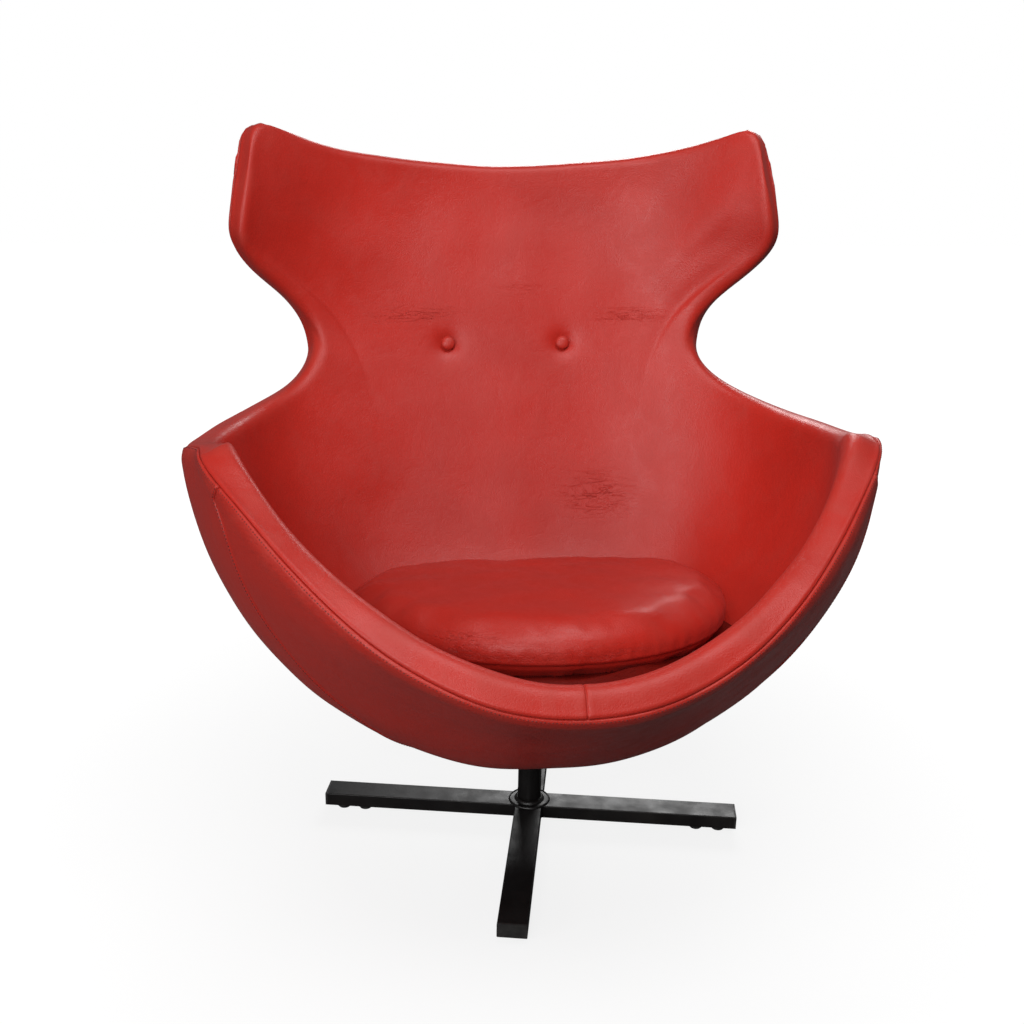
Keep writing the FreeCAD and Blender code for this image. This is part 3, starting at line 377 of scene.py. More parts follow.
# ---------------------------------------------------------------- bucket lining
# The padded inside of the bucket: foam under one piece of red leatherette, drawn over the rim
# and sewn to the outer covers along a seam on the outer side of the rounded rim.

# half the padding's thickness, the seam's place outward of its middle surface, and the power
# that flattens the rim's round; the outer skin keeps OUT_OF_SHELL off that surface, clear of
# the fibreglass
RIM_RADIUS, SEAM_LIFT, NOSE_POWER = 0.026, 0.0172, 0.68
OUT_OF_SHELL = 0.0195
# the net of the middle surface, front to headrest, in millimetres above the seat plate: each
# row is the middle's (y, z), then three points (x, y, z) out to the right edge
SECTIONS = (((-415, 210), (160, -400, 240), (300, -300, 330), (425, -125, 440)),
            ((-305, 125), (145, -270, 155), (420, -210, 305), (420, -75, 440)),
            ((-215, 25), (180, -190, 15), (435, -100, 220), (465, 5, 415)),
            ((-50, 40), (235, -50, 20), (420, 20, 200), (455, 110, 405)),
            ((190, 45), (235, 185, 45), (410, 160, 220), (420, 235, 405)),
            ((300, 230), (215, 300, 225), (355, 245, 295), (340, 325, 430)),
            ((370, 400), (185, 370, 400), (280, 340, 400), (300, 360, 490)),
            ((420, 545), (175, 420, 545), (280, 390, 525), (345, 375, 560)),
            ((450, 655), (180, 450, 655), (315, 405, 650), (440, 305, 645)),
            ((460, 710), (175, 460, 710), (305, 420, 715), (410, 300, 705)),
            ((470, 755), (170, 460, 770), (285, 425, 785), (395, 355, 825)))
PLATE_TOP = 175
right_half = np.array([[(0, *middle), *others] for middle, *others in SECTIONS], float)
right_half[..., 2] += PLATE_TOP
NET = np.concatenate([right_half[:, :0:-1] * (-1, 1, 1), right_half], 1) / 1000


def weights(count, spot):
    """Control point weights of a clamped cubic spline: each degree blends two of the last."""
    spot = np.clip(np.asarray(spot, float).ravel(), 0, 1 - 1e-9)[:, None]
    knots = np.concatenate([np.zeros(3), np.linspace(0, 1, count - 2), np.ones(3)])
    share = ((knots[:-1] <= spot) & (spot < knots[1:])).astype(float)
    for degree in (1, 2, 3):
        rise = knots[degree:-1] - knots[:-degree - 1]
        fall = knots[degree + 1:] - knots[1:-degree]
        climb = (spot - knots[:-degree - 1]) / np.where(rise > 0, rise, np.inf)
        drop = (knots[degree + 1:] - spot) / np.where(fall > 0, fall, np.inf)
        share = climb * share[:, :-1] + drop * share[:, 1:]
    return share


def middle_surface(along, across):
    """The padding's middle surface: the net's points summed by both directions' weights."""
    along, across = np.broadcast_arrays(along, across)
    summed = np.einsum("ni,nj,ijk->nk", weights(NET.shape[0], along),
                       weights(NET.shape[1], across), NET)
    return summed.reshape(*along.shape, 3)


def unit(vectors):
    """Vectors brought to length one."""
    return vectors / np.maximum(np.linalg.norm(vectors, axis=-1, keepdims=True), 1e-12)


def outward(along, across):
    """The surface's normal away from the sitter: its change one way crossed with the other."""
    edge, step = 0.012, 0.004
    along, across = np.clip(along, edge, 1 - edge), np.clip(across, edge, 1 - edge)
    down = middle_surface(along + step, across) - middle_surface(along - step, across)
    over = middle_surface(along, across + step) - middle_surface(along, across - step)
    return unit(np.cross(down, over))


def rim_place(turn):
    """Places on the rim, one unit a side from the front's left end: (along, across)."""
    side, share = np.divmod(np.asarray(turn, float) % 4, 1)
    side, none, whole = side.astype(int), 0 * share, 0 * share + 1
    return (np.choose(side, (none, share, whole, 1 - share)),
            np.choose(side, (share, whole, 1 - share, none)))


SPOKES = np.concatenate([np.linspace(start, end, count, endpoint=False)
                         for start, end, count in ((0.5, 1, 11), (1, 2, 24), (2, 3, 20),
                                                   (3, 4, 24), (4, 4.5, 11))])
SPOKE_COUNT = len(SPOKES)
HALF_RING = SPOKE_COUNT / 2
rim_spots = np.stack(rim_place(SPOKES), -1)
rim_points = middle_surface(*rim_spots.T)
RIM_STEP = 0.025
rim_run = (middle_surface(*rim_place(SPOKES + RIM_STEP))
           - middle_surface(*rim_place(SPOKES - RIM_STEP)))
rim_inward = unit(np.cross(rim_run, outward(*rim_spots.T)))

# round the wings and headrest the padding is thinner near the rim, and turns more tightly,
# than round the arms and front; past_arm goes smoothly from 0 to 1 between them
WING_HALF, WING_BLEND = 0.82, 0.2
WING_TIGHTER, WING_THINNER, THINNER_REACH = 0.35, 0.42, 0.14
past_arm = np.clip((WING_HALF - np.abs(SPOKES - 2.5)) / WING_BLEND, 0, 1)
past_arm = past_arm ** 2 * (3 - 2 * past_arm)
tightness = 1 - WING_TIGHTER * past_arm


def in_from_rim(distance):
    """Spots this far in from the rim, square to it: a few steps of Newton's rule on the surface."""
    spots = rim_spots.copy()
    distance = (distance * tightness)[:, None]
    for _ in range(4):
        slopes = []
        for step in ((0.002, 0), (0, 0.002)):
            ahead, behind = np.clip(spots + step, 0, 1), np.clip(spots - step, 0, 1)
            change = middle_surface(*ahead.T) - middle_surface(*behind.T)
            slopes.append(change / (ahead - behind).sum(-1, keepdims=True))
        slopes = np.stack(slopes, -1)
        missing = rim_points + rim_inward * distance - middle_surface(*spots.T)
        square = np.swapaxes(slopes, 1, 2)
        spots = spots + np.linalg.solve(square @ slopes, square @ missing[..., None])[..., 0]
        spots = np.clip(spots, 0, 1)
    return spots


def solve(low, high, is_short):
    """Halve the interval again and again towards where is_short turns false, for every spoke."""
    low, high = np.full(SPOKE_COUNT, low), np.full(SPOKE_COUNT, high)
    for _ in range(22):
        middle = (low + high) / 2
        short = is_short(middle)
        low, high = np.where(short, middle, low), np.where(short, high, middle)
    return low


# the spokes run from the spot on the swivel axis to the end of the rounded rim
HUB = np.array((solve(0.1, 0.5, lambda along: middle_surface(along, 0.5)[..., 1] < 0)[0], 0.5))
NOSE_END = in_from_rim(RIM_RADIUS)


def spoke_spots(fraction):
    """Spots this far along each spoke, from the swivel axis to the end of the rounded rim."""
    return HUB + (NOSE_END - HUB) * fraction[..., None]


def on_spokes(fraction, level):
    """Points on the spokes, offset by level from the middle surface."""
    spots = spoke_spots(fraction)
    return (middle_surface(spots[..., 0], spots[..., 1])
            + outward(spots[..., 0], spots[..., 1]) * level)


# across the padded rim: a flattened round, in by radius (1 - cos^e), off by radius sin^e
nose_angle = np.linspace(-np.pi / 2, np.pi / 2, 1441)
nose_in = RIM_RADIUS * (1 - np.clip(np.cos(nose_angle), 0, 1) ** NOSE_POWER)
nose_off = RIM_RADIUS * np.sign(nose_angle) * np.abs(np.sin(nose_angle)) ** NOSE_POWER
nose_run = np.append(0, np.cumsum(np.hypot(np.diff(nose_in), np.diff(nose_off))))
seam_run = np.interp(SEAM_LIFT, nose_off, nose_run)


def bell(distance, width):
    """1 at no distance, falling off smoothly as e to minus the square of distance over width."""
    return np.exp(-(distance / width) ** 2)


# rows crowd beside the seam, at these distances from it, then keep an even step
BESIDE_SEAM = np.array([0, 0.5, 1, 1.5, 2.1, 2.8, 3.6, 4.5, 5.5, 7, 9, 12, 15, 18.2]) / 1000
EVEN_START, EVEN_STEP = 0.0215, 0.0035


def spoke_rows(side, opening, shares):
    """Rows on one face of the padded sheet, from the rim seam in to the opening.

    They go round the nose first, then along the spokes at the full offset. Returns each row's
    spots on the middle surface, its offset and its distance from the seam.
    """
    turn_length = nose_run[-1] - seam_run if side > 0 else seam_run
    arc = np.concatenate([BESIDE_SEAM[BESIDE_SEAM < turn_length - 0.001],
                          np.arange(EVEN_START, turn_length - 0.002, EVEN_STEP), [turn_length]])
    spots = [in_from_rim(np.interp(seam_run + side * run, nose_run, nose_in)) for run in arc]
    inner = solve(0.0, 0.7, lambda fraction: (
        np.linalg.norm(on_spokes(fraction, side * RIM_RADIUS)[:, :2], axis=-1) < opening))
    spots += [spoke_spots(1 + (inner - 1) * share) for share in shares[1:]]
    lifts = np.concatenate([np.interp(seam_run + side * arc, nose_run, nose_off),
                            side * RIM_RADIUS + 0 * shares[1:]])[:, None]
    from_rim = np.linalg.norm(middle_surface(*np.moveaxis(np.array(spots), -1, 0)) - rim_points,
                              axis=-1)
    thinned = lifts * (1 - WING_THINNER * past_arm * bell(from_rim, THINNER_REACH))
    lifts = np.where(lifts > 0, np.maximum(thinned, np.minimum(lifts, OUT_OF_SHELL)), thinned)
    return np.array(spots), lifts, np.concatenate([arc, turn_length + shares[1:] * 0.6])


def around_ring(rows, columns):
    """Carry numbers given at the spokes round a closed cubic spline through them."""
    away = np.abs((columns[:, None] - np.arange(SPOKE_COUNT) + HALF_RING) % SPOKE_COUNT
                  - HALF_RING)
    share = np.where(away < 1, 2 / 3 - away ** 2 + away ** 3 / 2,
                     np.where(away < 2, np.clip(2 - away, 0, None) ** 3 / 6, 0))
    poles = rows * 4 / 3 - (np.roll(rows, 1, 1) + np.roll(rows, -1, 1)) / 6
    return np.einsum("ck,rkx->rcx", share, poles)


def padded_face(spots, lifts, columns):
    """Points of rows of spots, carried round the ring and lifted off the middle surface."""
    along, across = np.clip(np.moveaxis(around_ring(spots, columns), -1, 0), 0, 1)
    return (middle_surface(along, across)
            + outward(along, across) * around_ring(lifts[..., None], columns))


def spread(start, end, count, crowd):
    """Places from start to end, closer together where crowd (a function) is larger."""
    fine = np.linspace(start, end, 6000)
    total = np.concatenate([[0], np.cumsum((crowd(fine[1:]) + crowd(fine[:-1])) / 2)])
    return np.interp(np.linspace(0, total[-1], count), total, fine)


def face_normals(points, columns_closed):
    """Normals of a grid of points, from the run of its rows crossed with that of its columns."""
    if columns_closed:
        wide = np.concatenate([points[:, -1:], points, points[:, :1]], 1)
        across = wide[:, 2:] - wide[:, :-2]
    else:
        across = np.gradient(points, axis=1)
    return unit(np.cross(np.gradient(points, axis=0), across))


def closed_sheet(front, back, columns_closed):
    """Points and faces of a thin closed form between two like grids."""
    rows, columns = front.shape[:2]
    count = rows * columns
    face = grid_faces(rows, columns, False, columns_closed)
    faces = [face, face[:, ::-1] + count]
    after = np.arange(columns if columns_closed else columns - 1)
    following = (after + 1) % columns
    last = (rows - 1) * columns
    faces.append(np.stack([following, after, after + count, following + count], -1))
    faces.append(np.stack([after, following, following + count, after + count], -1) + last)
    if not columns_closed:
        down = np.arange(rows - 1) * columns
        below = down + columns
        faces.append(np.stack([down, below, below + count, down + count], -1))
        faces.append(np.stack([below, down, down + count, below + count], -1) + columns - 1)
    return np.concatenate([front.reshape(-1, 3), back.reshape(-1, 3)]), np.concatenate(faces)


def run_along(points):
    """How far each point of a grid is along its row: the steps' lengths summed from its start."""
    steps = np.linalg.norm(np.diff(points, axis=1), axis=-1)
    return np.concatenate([np.zeros((len(points), 1)), np.cumsum(steps, 1)], 1)


def ripples(points, size, seed):
    """Soft unevenness about 0: a sum of plane waves of about this length, seeded ways."""
    count = 14
    chance = np.random.default_rng(seed)
    ways = unit(chance.normal(size=(count, 3))) * 2 * np.pi / (
        size * chance.uniform(0.7, 1.5, (count, 1)))
    phases = chance.uniform(0, 2 * np.pi, count)
    return np.sin(points @ ways.T + phases).sum(-1) / np.sqrt(count)


def seam_fold(distance, depth=0.0019, swell=0.0011):
    """Leatherette turned in at a seam and puffed beside it: a narrow dip and a wide low swell."""
    return -depth * bell(distance, 0.0008) + swell * bell(distance - 0.0048, 0.0034)


def blob(points, centre, widths):
    """1 at a place, falling off smoothly over these widths along x, y and z."""
    return np.exp(-(((points - centre) / widths) ** 2).sum(-1))


def set_wear_sheen_and_creases(thing, worn_and_painted_sheen, creased):
    """The two numbers leatherette reads at each point; a shorter array repeats over a sheet's
    second face."""
    for name, values in (("worn_and_painted_sheen", worn_and_painted_sheen), ("creased", creased)):
        layer = thing.data.attributes.new(name, "FLOAT", "POINT")
        layer.data.foreach_set("value", np.resize(np.asarray(values, np.float32),
                                                  len(thing.data.vertices)))


def veins(tree, field, level, width):
    """Lines where a field passes a level: 1 on it, falling to 0 at this width either side."""
    off = node(tree, "Math", {0: field, 1: level}, operation="SUBTRACT").outputs[0]
    off = node(tree, "Math", {0: off}, operation="ABSOLUTE").outputs[0]
    return between(tree, off, 0.0, width, 1.0, 0.0)


def leatherette(name, colour):
    """Leatherette: coated cloth with a fine pebble, broken by creases where it is drawn.

    It reads two attributes: one for a paler tone towards the handled edges, partly rubbed wear and
    partly a painted highlight, and creased, where it wrinkles and where painted shade darkens the
    lines.
    """
    material, tree, shader, place = finish(name, colour, 0.42, specular=0.3)
    shader.inputs["Sheen Weight"].default_value = 0.015
    shader.inputs["Sheen Roughness"].default_value = 0.5
    shader.inputs["Coat Weight"].default_value = 0.05
    shader.inputs["Coat Roughness"].default_value = 0.32
    worn_and_painted_sheen = node(tree, "Attribute", attribute_name="worn_and_painted_sheen").outputs["Fac"]
    creased = node(tree, "Attribute", attribute_name="creased").outputs["Fac"]
    pebble = node(tree, "TexVoronoi", {"Vector": place, "Scale": 620.0, "Randomness": 0.9},
                  feature="SMOOTH_F1").outputs["Distance"]
    pores = noise(tree, place, 2300, 2)
    soft = noise(tree, place, 26, 5, 0.6)
    broad = noise(tree, place, 4.5, 4, 0.5)
    grooves = product(tree, creased, veins(tree, noise(tree, place, 70, 7, 1.6), 0.5, 0.035))
    folds = product(tree, creased, veins(
        tree, noise(tree, place, 16, 6, 1.1, stretch=(1, 1, 7)), 0.52, 0.022))
    # dark: a darker red for random broad mottling, and for painted shade in the crease lines
    dark = tuple(channel * 0.88 for channel in colour)
    pale = (colour[0] * 0.86 + 0.02, *(channel * 1.3 + 0.004 for channel in colour[1:]))
    tone = blended(tree, between(tree, broad, 0.35, 0.7), colour, dark)
    tone = blended(tree, between(tree, soft, 0.45, 0.8, 0, 0.35), tone, pale)
    # the band towards the edges blends in pale: rubbed wear and a painted highlight
    tone = blended(tree, product(tree, worn_and_painted_sheen, between(tree, soft, 0.3, 0.7, 0.15, 0.6)), tone, pale)
    # painted shade: the crease lines darken the colour by up to 16 per cent
    tone = blended(tree, between(tree, grooves, 0, 1, 0, 0.16, "LINEAR"), tone, dark)
    tree.links.new(tone, shader.inputs["Base Color"])
    rough = between(tree, soft, 0.3, 0.7, 0.36, 0.47)
    tree.links.new(node(tree, "Math", {0: rough, 1: product(tree, creased, 0.06)},
                        operation="ADD").outputs[0], shader.inputs["Roughness"])
    bumps(tree, shader, (soft, 0.0009), (product(tree, grooves, -1.0), 0.00035),
          (product(tree, folds, -1.0), 0.0006), (pebble, 0.00028), (pores, 0.00004))
    return material


RED = (0.46, 0.020, 0.012)
cover_red = leatherette("red_leatherette", RED)

# buttons pull the lining in: their places come from the CAD buttons
BUTTON_DEPTH = 0.0086
buttons = {}
for side_name in ("left", "right"):
    low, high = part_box(f"button_{side_name}")
    buttons[side_name] = np.array((low + high) / 2)

# the lining stops at an opening under the cushion; rows and columns crowd at the buttons,
# which a coarse lining finds, and columns also at the seam in the middle of the front
COVER_OPENING, LINING_ROWS, LINING_COLUMNS = 0.120, 84, 520
coarse_shares = np.linspace(0, 1, 81)
coarse_rows = padded_face(*spoke_rows(-1, COVER_OPENING, coarse_shares)[:2],
                          np.arange(0.0, SPOKE_COUNT))[1 - len(coarse_shares):]
nearest = np.linalg.norm(coarse_rows - buttons["right"], axis=-1)
button_row, button_spoke = np.unravel_index(nearest.argmin(), nearest.shape)
button_share = coarse_shares[button_row + 1]
mirror_spoke = np.linalg.norm(coarse_rows - buttons["left"], axis=-1).min(0).argmin()

lining_shares = spread(0, 1, LINING_ROWS, lambda s: 1 + 2.6 * bell(s - button_share, 0.05))
lining_columns = spread(0, SPOKE_COUNT, LINING_COLUMNS + 1, lambda s: (
    1 + 1.6 * bell(s - button_spoke, 0.9) + 1.6 * bell(s - mirror_spoke, 0.9)
    + 9 * bell(s - HALF_RING - HALF_RING * np.sign(s - HALF_RING), 0.06)))[:-1]
spots, lifts, seam_distance = spoke_rows(-1, COVER_OPENING, lining_shares)
lining = padded_face(spots, lifts, lining_columns)
lining_normal = -face_normals(lining, True)
depth = seam_fold(seam_distance)[:, None] + 0.0006 * ripples(lining, 0.11, 3)

# the band over the rim is joined in the middle of the front, as far in as FRONT_SEAM
FRONT_SEAM = 0.052
front_ring = run_along(lining)
whole_ring = front_ring[:, -1:] + np.linalg.norm(lining[:, 0] - lining[:, -1], axis=-1)[:, None]
from_front = np.minimum(front_ring, whole_ring - front_ring)
depth += (seam_fold(from_front, 0.0016, 0.0007)
          * (1 / (1 + np.exp((seam_distance - FRONT_SEAM) / 0.002)))[:, None])

# a button's pull: full under it, halved at PULL_HALF past its edge, gone soon after PULL_END
BUTTON_EDGE, PULL_HALF, PULL_END = 0.0105, 0.011, 0.12
for centre in buttons.values():
    reach = np.linalg.norm(lining - centre, axis=-1)
    pull = BUTTON_DEPTH / (1 + (np.clip(reach - BUTTON_EDGE, 0, None) / PULL_HALF) ** 1.5)
    depth -= pull * np.clip(1.15 - reach / PULL_END, 0, 1)
LINING_THICK = 0.004
lining = lining + lining_normal * depth[..., None]
points, faces = closed_sheet(lining, lining - lining_normal * LINING_THICK, True)
lining_piece = piece("bucket_lining", points, faces, cover_red, "seat")
# paler band in from the seam over the rim: rubbed wear and a painted highlight on the rim
worn_and_painted_sheen = bell(seam_distance - 0.03, 0.025)[:, None] + 0 * depth
creased = (0.06 + 0.75 * blob(lining, (-0.15, 0.39, 0.705), (0.06, 0.3, 0.011))
           + 0.75 * blob(lining, (0.20, 0.39, 0.705), (0.05, 0.3, 0.011))
           + 0.3 * blob(lining, (0.03, 0.42, 0.745), (0.04, 0.3, 0.012))
           + 0.9 * blob(lining, (0.135, 0.27, 0.43), (0.045, 0.3, 0.028)))
set_wear_sheen_and_creases(lining_piece, worn_and_painted_sheen, creased)
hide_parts("inner_cover", "inner_foam")

# ---------------------------------------------------------------- front facing and rear cover
# Two outer panels of the same leatherette over thin foam: the facing under the front rim, and
# the cover round the sides and back. They meet at a seam down each side, just before the arm's
# tip.
FACING_SEAM, BLOCK_OPENING = 0.022, 0.102
PANEL_THICK, DEEPEST_FOLD = 0.0035, 0.0036


def column_of(turn):
    """The column a place on the rim falls at, counted in spokes."""
    return np.interp(turn, np.append(SPOKES, 4.5), np.arange(SPOKE_COUNT + 1))


def outer_panel(name, start, end, columns, inner_rows, seed):
    """Part of the outer skin between two side seams: the padded face raised by soft ripples
    and dipped along its edges, where it turns in. Returns the piece and its lines."""
    spots, lifts, distance = spoke_rows(1, BLOCK_OPENING, np.linspace(0, 1, inner_rows))
    columns_at = spread(start, end, columns, lambda s: (
        1 + 22 * np.exp(-(s - start) / 0.09) + 22 * np.exp(-(end - s) / 0.09)))
    skin = padded_face(spots, lifts, columns_at)
    normal = face_normals(skin, False)
    run = run_along(skin)
    from_side = np.minimum(run, run[:, -1:] - run)
    lift = (seam_fold(distance)[:, None] + seam_fold(from_side, 0.003, 0.0009)
            + 0.0007 * ripples(skin, 0.13, seed))
    lift = np.maximum(lift, -DEEPEST_FOLD)
    lift -= 0.003 * bell(distance[-1] - distance, 0.006)[:, None]
    skin = skin + normal * lift[..., None]
    points, faces = closed_sheet(skin, skin - normal * PANEL_THICK, False)
    made = piece(name, points, faces[:, ::-1], cover_red, "seat")
    # paler next to the rim seam: rubbed wear and a painted highlight below the seam
    worn_and_painted_sheen = bell(distance, 0.02)[:, None] + 0 * lift
    creased = 0.06 + 0.3 * bell(distance - 0.02, 0.02)[:, None] + 0 * lift
    set_wear_sheen_and_creases(made, worn_and_painted_sheen, creased)
    return made, skin, normal, distance


left_seam, right_seam = column_of(4 + FACING_SEAM), column_of(1 - FACING_SEAM)
facing_piece, *facing = outer_panel("front_facing_panel", left_seam - SPOKE_COUNT, right_seam,
                                    300, 46, 5)
rear_piece, *rear = outer_panel("rear_cover_panel", right_seam, left_seam, 560, 70, 7)
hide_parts("front_facing")
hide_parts("rear_cover", "outer_foam")

# ---------------------------------------------------------------- seam stitching
# A row of dark red thread beside the rim seam and down each side seam, sewn through the turned
# edges: short round stitches that sink at their ends.
thread = mottled("dark_red_thread", (0.10, 0.006, 0.006), 0.6,
                 ((1500, 2), 0.35, 0.65, (0.07, 0.004, 0.004), (0.16, 0.012, 0.01)),
                 ((700, 2), 0.5, 0.72), ((2600, 2, 0.0, (1, 3, 1)), 0.00008))
dress(thread, "thread", "button_twines")
STITCH_PITCH, STITCH_LENGTH, STITCH_RADIUS = 0.0046, 0.0031, 0.00058
STITCH_RINGS, STITCH_SIDES = 5, 6


def stitches(paths):
    """Short arched capsules along paths of (points, normals), one every pitch of the run: rings
    round the way ahead, smaller and lower towards both ends, each end closed by two quads."""
    around = np.linspace(0, 2 * np.pi, STITCH_SIDES, endpoint=False)
    along = np.linspace(-1, 1, STITCH_RINGS)
    girth = np.sqrt(np.clip(1 - 0.92 * along ** 4, 0, 1))
    verts, faces = [], []
    face = grid_faces(STITCH_RINGS, STITCH_SIDES, False, True)
    ends = np.array([[0, 5, 4, 3], [0, 3, 2, 1], [24, 25, 26, 27], [24, 27, 28, 29]])
    face = np.concatenate([face, ends])[:, ::-1]
    for points, normals in paths:
        run = run_along(points[None])[0]
        count = int(run[-1] / STITCH_PITCH)
        spots = (np.arange(count) + 0.5) * run[-1] / count
        place, ahead, up = (np.stack([np.interp(spots + shift, run, grid[:, k])
                                      for k in range(3)], -1)
                            for grid, shift in ((points, 0), (points, 0.001), (normals, 0)))
        way, up = unit(ahead - place), unit(up)
        side = np.cross(way, up)
        arch = (STITCH_RADIUS * 0.3 - 0.0007 * along ** 2)[None, :, None, None]
        bar = (place[:, None, None] + way[:, None, None] * along[None, :, None, None]
               * STITCH_LENGTH / 2 + up[:, None, None] * arch
               + (side[:, None, None] * np.cos(around)[None, None, :, None]
                  + up[:, None, None] * np.sin(around)[None, None, :, None])
               * (STITCH_RADIUS * girth)[None, :, None, None])
        each = np.arange(count)[:, None, None] * STITCH_RINGS * STITCH_SIDES
        offset = sum(len(v) for v in verts) + each
        verts.append(bar.reshape(-1, 3))
        faces.append((face[None] + offset).reshape(-1, 4))
    return np.concatenate(verts), np.concatenate(faces)


def beside_rim(skin, normal, distance, away):
    """The line on an outer panel at this distance from the rim seam."""
    after = np.searchsorted(distance, away)
    share = (away - distance[after - 1]) / (distance[after] - distance[after - 1])
    return (skin[after - 1] * (1 - share) + skin[after] * share,
            normal[after - 1] * (1 - share) + normal[after] * share)


SEAM_STITCH, NEAR_END = 0.0042, 90


def beside_side(skin, normal, distance, end, away):
    """The line down an outer panel this far from one of its ends, from the rim seam down."""
    keep = distance > 0.004
    skin, normal = skin[keep][:, ::end][:, :NEAR_END], normal[keep][:, ::end][:, :NEAR_END]
    run = run_along(skin)
    after = np.clip((run < away).sum(1), 1, NEAR_END - 1)
    line = np.arange(len(skin))
    share = ((away - run[line, after - 1]) / (run[line, after] - run[line, after - 1]))[:, None]
    return (skin[line, after - 1] * (1 - share) + skin[line, after] * share, normal[line, after])


stitch_points, stitch_faces = stitches([
    beside_rim(*facing, SEAM_STITCH), beside_rim(*rear, SEAM_STITCH),
    beside_side(*rear, 1, SEAM_STITCH), beside_side(*rear, -1, SEAM_STITCH)])
piece("seam_stitching", stitch_points, stitch_faces, thread, "seat")

# ---------------------------------------------------------------- covered buttons
# Two domed buttons covered in the same leatherette, pulled into the back by twine: the cover
# is gathered at the edge, so faint folds run in from it.
BUTTON_ROWS, BUTTON_AROUND = 16, 48
BUTTON_TUCK, BUTTON_SIDE = 0.35, 0.28


def covered_button(side_name):
    """A dome turned about the CAD button's axis: out by the sine and up by the cosine of the
    lean, then straight down a short side that tucks in; folds fade towards its crown."""
    cad = frame["nodes"][f"button_{side_name}"]
    spots = np.array([v.co for v in cad.data.vertices])
    reach = np.linalg.norm(lining - buttons[side_name], axis=-1)
    axis = unit(np.linalg.svd(spots - spots.mean(0))[2][2])
    axis = axis * np.sign(axis @ lining_normal[np.unravel_index(reach.argmin(), reach.shape)])
    height = spots @ axis
    base_height = height.min()
    flat = spots[height < base_height + 1e-4]
    base = flat.mean(0)
    radius = np.linalg.norm(flat - base, axis=1).max()
    rise = height.max() - base_height
    side = unit(np.cross(axis, (0, 0, 1)))
    up = np.cross(side, axis)
    around = np.linspace(0, 2 * np.pi, BUTTON_AROUND, endpoint=False)[None, :]
    lean = np.linspace(0.02, np.pi / 2 + BUTTON_TUCK, BUTTON_ROWS)[:, None]
    tucked, dome_lean = lean > np.pi / 2, np.minimum(lean, np.pi / 2)
    out = radius * np.sin(dome_lean) * np.where(tucked, 0.94, 1)
    dome_high = BUTTON_SIDE + (1 - BUTTON_SIDE) * np.cos(dome_lean)
    side_high = BUTTON_SIDE * (np.pi / 2 + BUTTON_TUCK - lean) / BUTTON_TUCK
    high = rise * np.where(tucked, side_high, dome_high)
    gather = 1 + 0.02 * np.sin(16 * around) * np.clip(lean - 0.9, 0, 1)
    points = (base + out[..., None] * gather[..., None] * (
        np.cos(around)[..., None] * side + np.sin(around)[..., None] * up)
        + high[..., None] * axis)
    made = piece(f"button_cover_{side_name}", points, capped_faces(BUTTON_ROWS, BUTTON_AROUND),
                 cover_red, "seat")
    set_wear_sheen_and_creases(made, 0.8, 0.1)
    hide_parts(f"button_{side_name}")


covered_button("left")
covered_button("right")

# ---------------------------------------------------------------- seat deck
# The bottom of the bucket is filled with foam under a loose cloth of the same leatherette at
# three tenths of its colour, with less lustre: painted shade for the dark gaps round the cushion.
# It is tucked in all round, and its slack lies in one soft fold in front of the cushion.
shade_darkened_deck_red = leatherette("deck_leatherette_painted_shade", tuple(channel * 0.3 for channel in RED))
deck_shader = shade_darkened_deck_red.node_tree.nodes["Principled BSDF"]
for lustre in ("Specular IOR Level", "Coat Weight", "Sheen Weight"):
    deck_shader.inputs[lustre].default_value *= 0.2
DECK_LEVEL, DECK_TILT = 0.313, np.radians(7)
DECK_VENT, DECK_AROUND, FOOT_ROWS = 0.015, 240, 15
# the deck's foot follows the lining's face, just on the sitter's side of it
UNDER_DECK = -0.0268


def above_deck(points):
    """Height of points above the deck's sloping plane."""
    return points[..., 2] - DECK_LEVEL + np.tan(DECK_TILT) * points[..., 1]


deck_fraction = solve(0.0, 0.9, lambda fraction: above_deck(on_spokes(fraction, UNDER_DECK)) < 0)
deck_vent = solve(0.0, 0.6, lambda fraction: (
    np.linalg.norm(on_spokes(fraction, UNDER_DECK)[:, :2], axis=-1) < DECK_VENT))
deck_shares = np.concatenate([[0, 0.004, 0.012, 0.025], np.linspace(0.04, 0.5, 34),
                              np.linspace(0.53, 1, 12)])[:, None, None]
ring = np.linspace(0, SPOKE_COUNT, DECK_AROUND, endpoint=False)
foot_spots = [spoke_spots(deck_vent + (deck_fraction - deck_vent) * share)
              for share in np.linspace(0, 1, FOOT_ROWS)]
foot = padded_face(np.array(foot_spots), np.full((FOOT_ROWS, SPOKE_COUNT), UNDER_DECK), ring)
deck_rim, foot = foot[-1], foot[:-1]
deck_hub = np.array((0, 0, DECK_LEVEL))
inner_rim = deck_hub + (deck_rim - deck_hub) * (
    DECK_VENT / np.linalg.norm(deck_rim - deck_hub, axis=-1, keepdims=True))
top = deck_rim + (inner_rim - deck_rim) * deck_shares
edge = np.linalg.norm(top - top[:1], axis=-1)
lift = 0.002 - 0.004 * np.exp(-edge / 0.006) + 0.0006 * ripples(top, 0.06, 11)

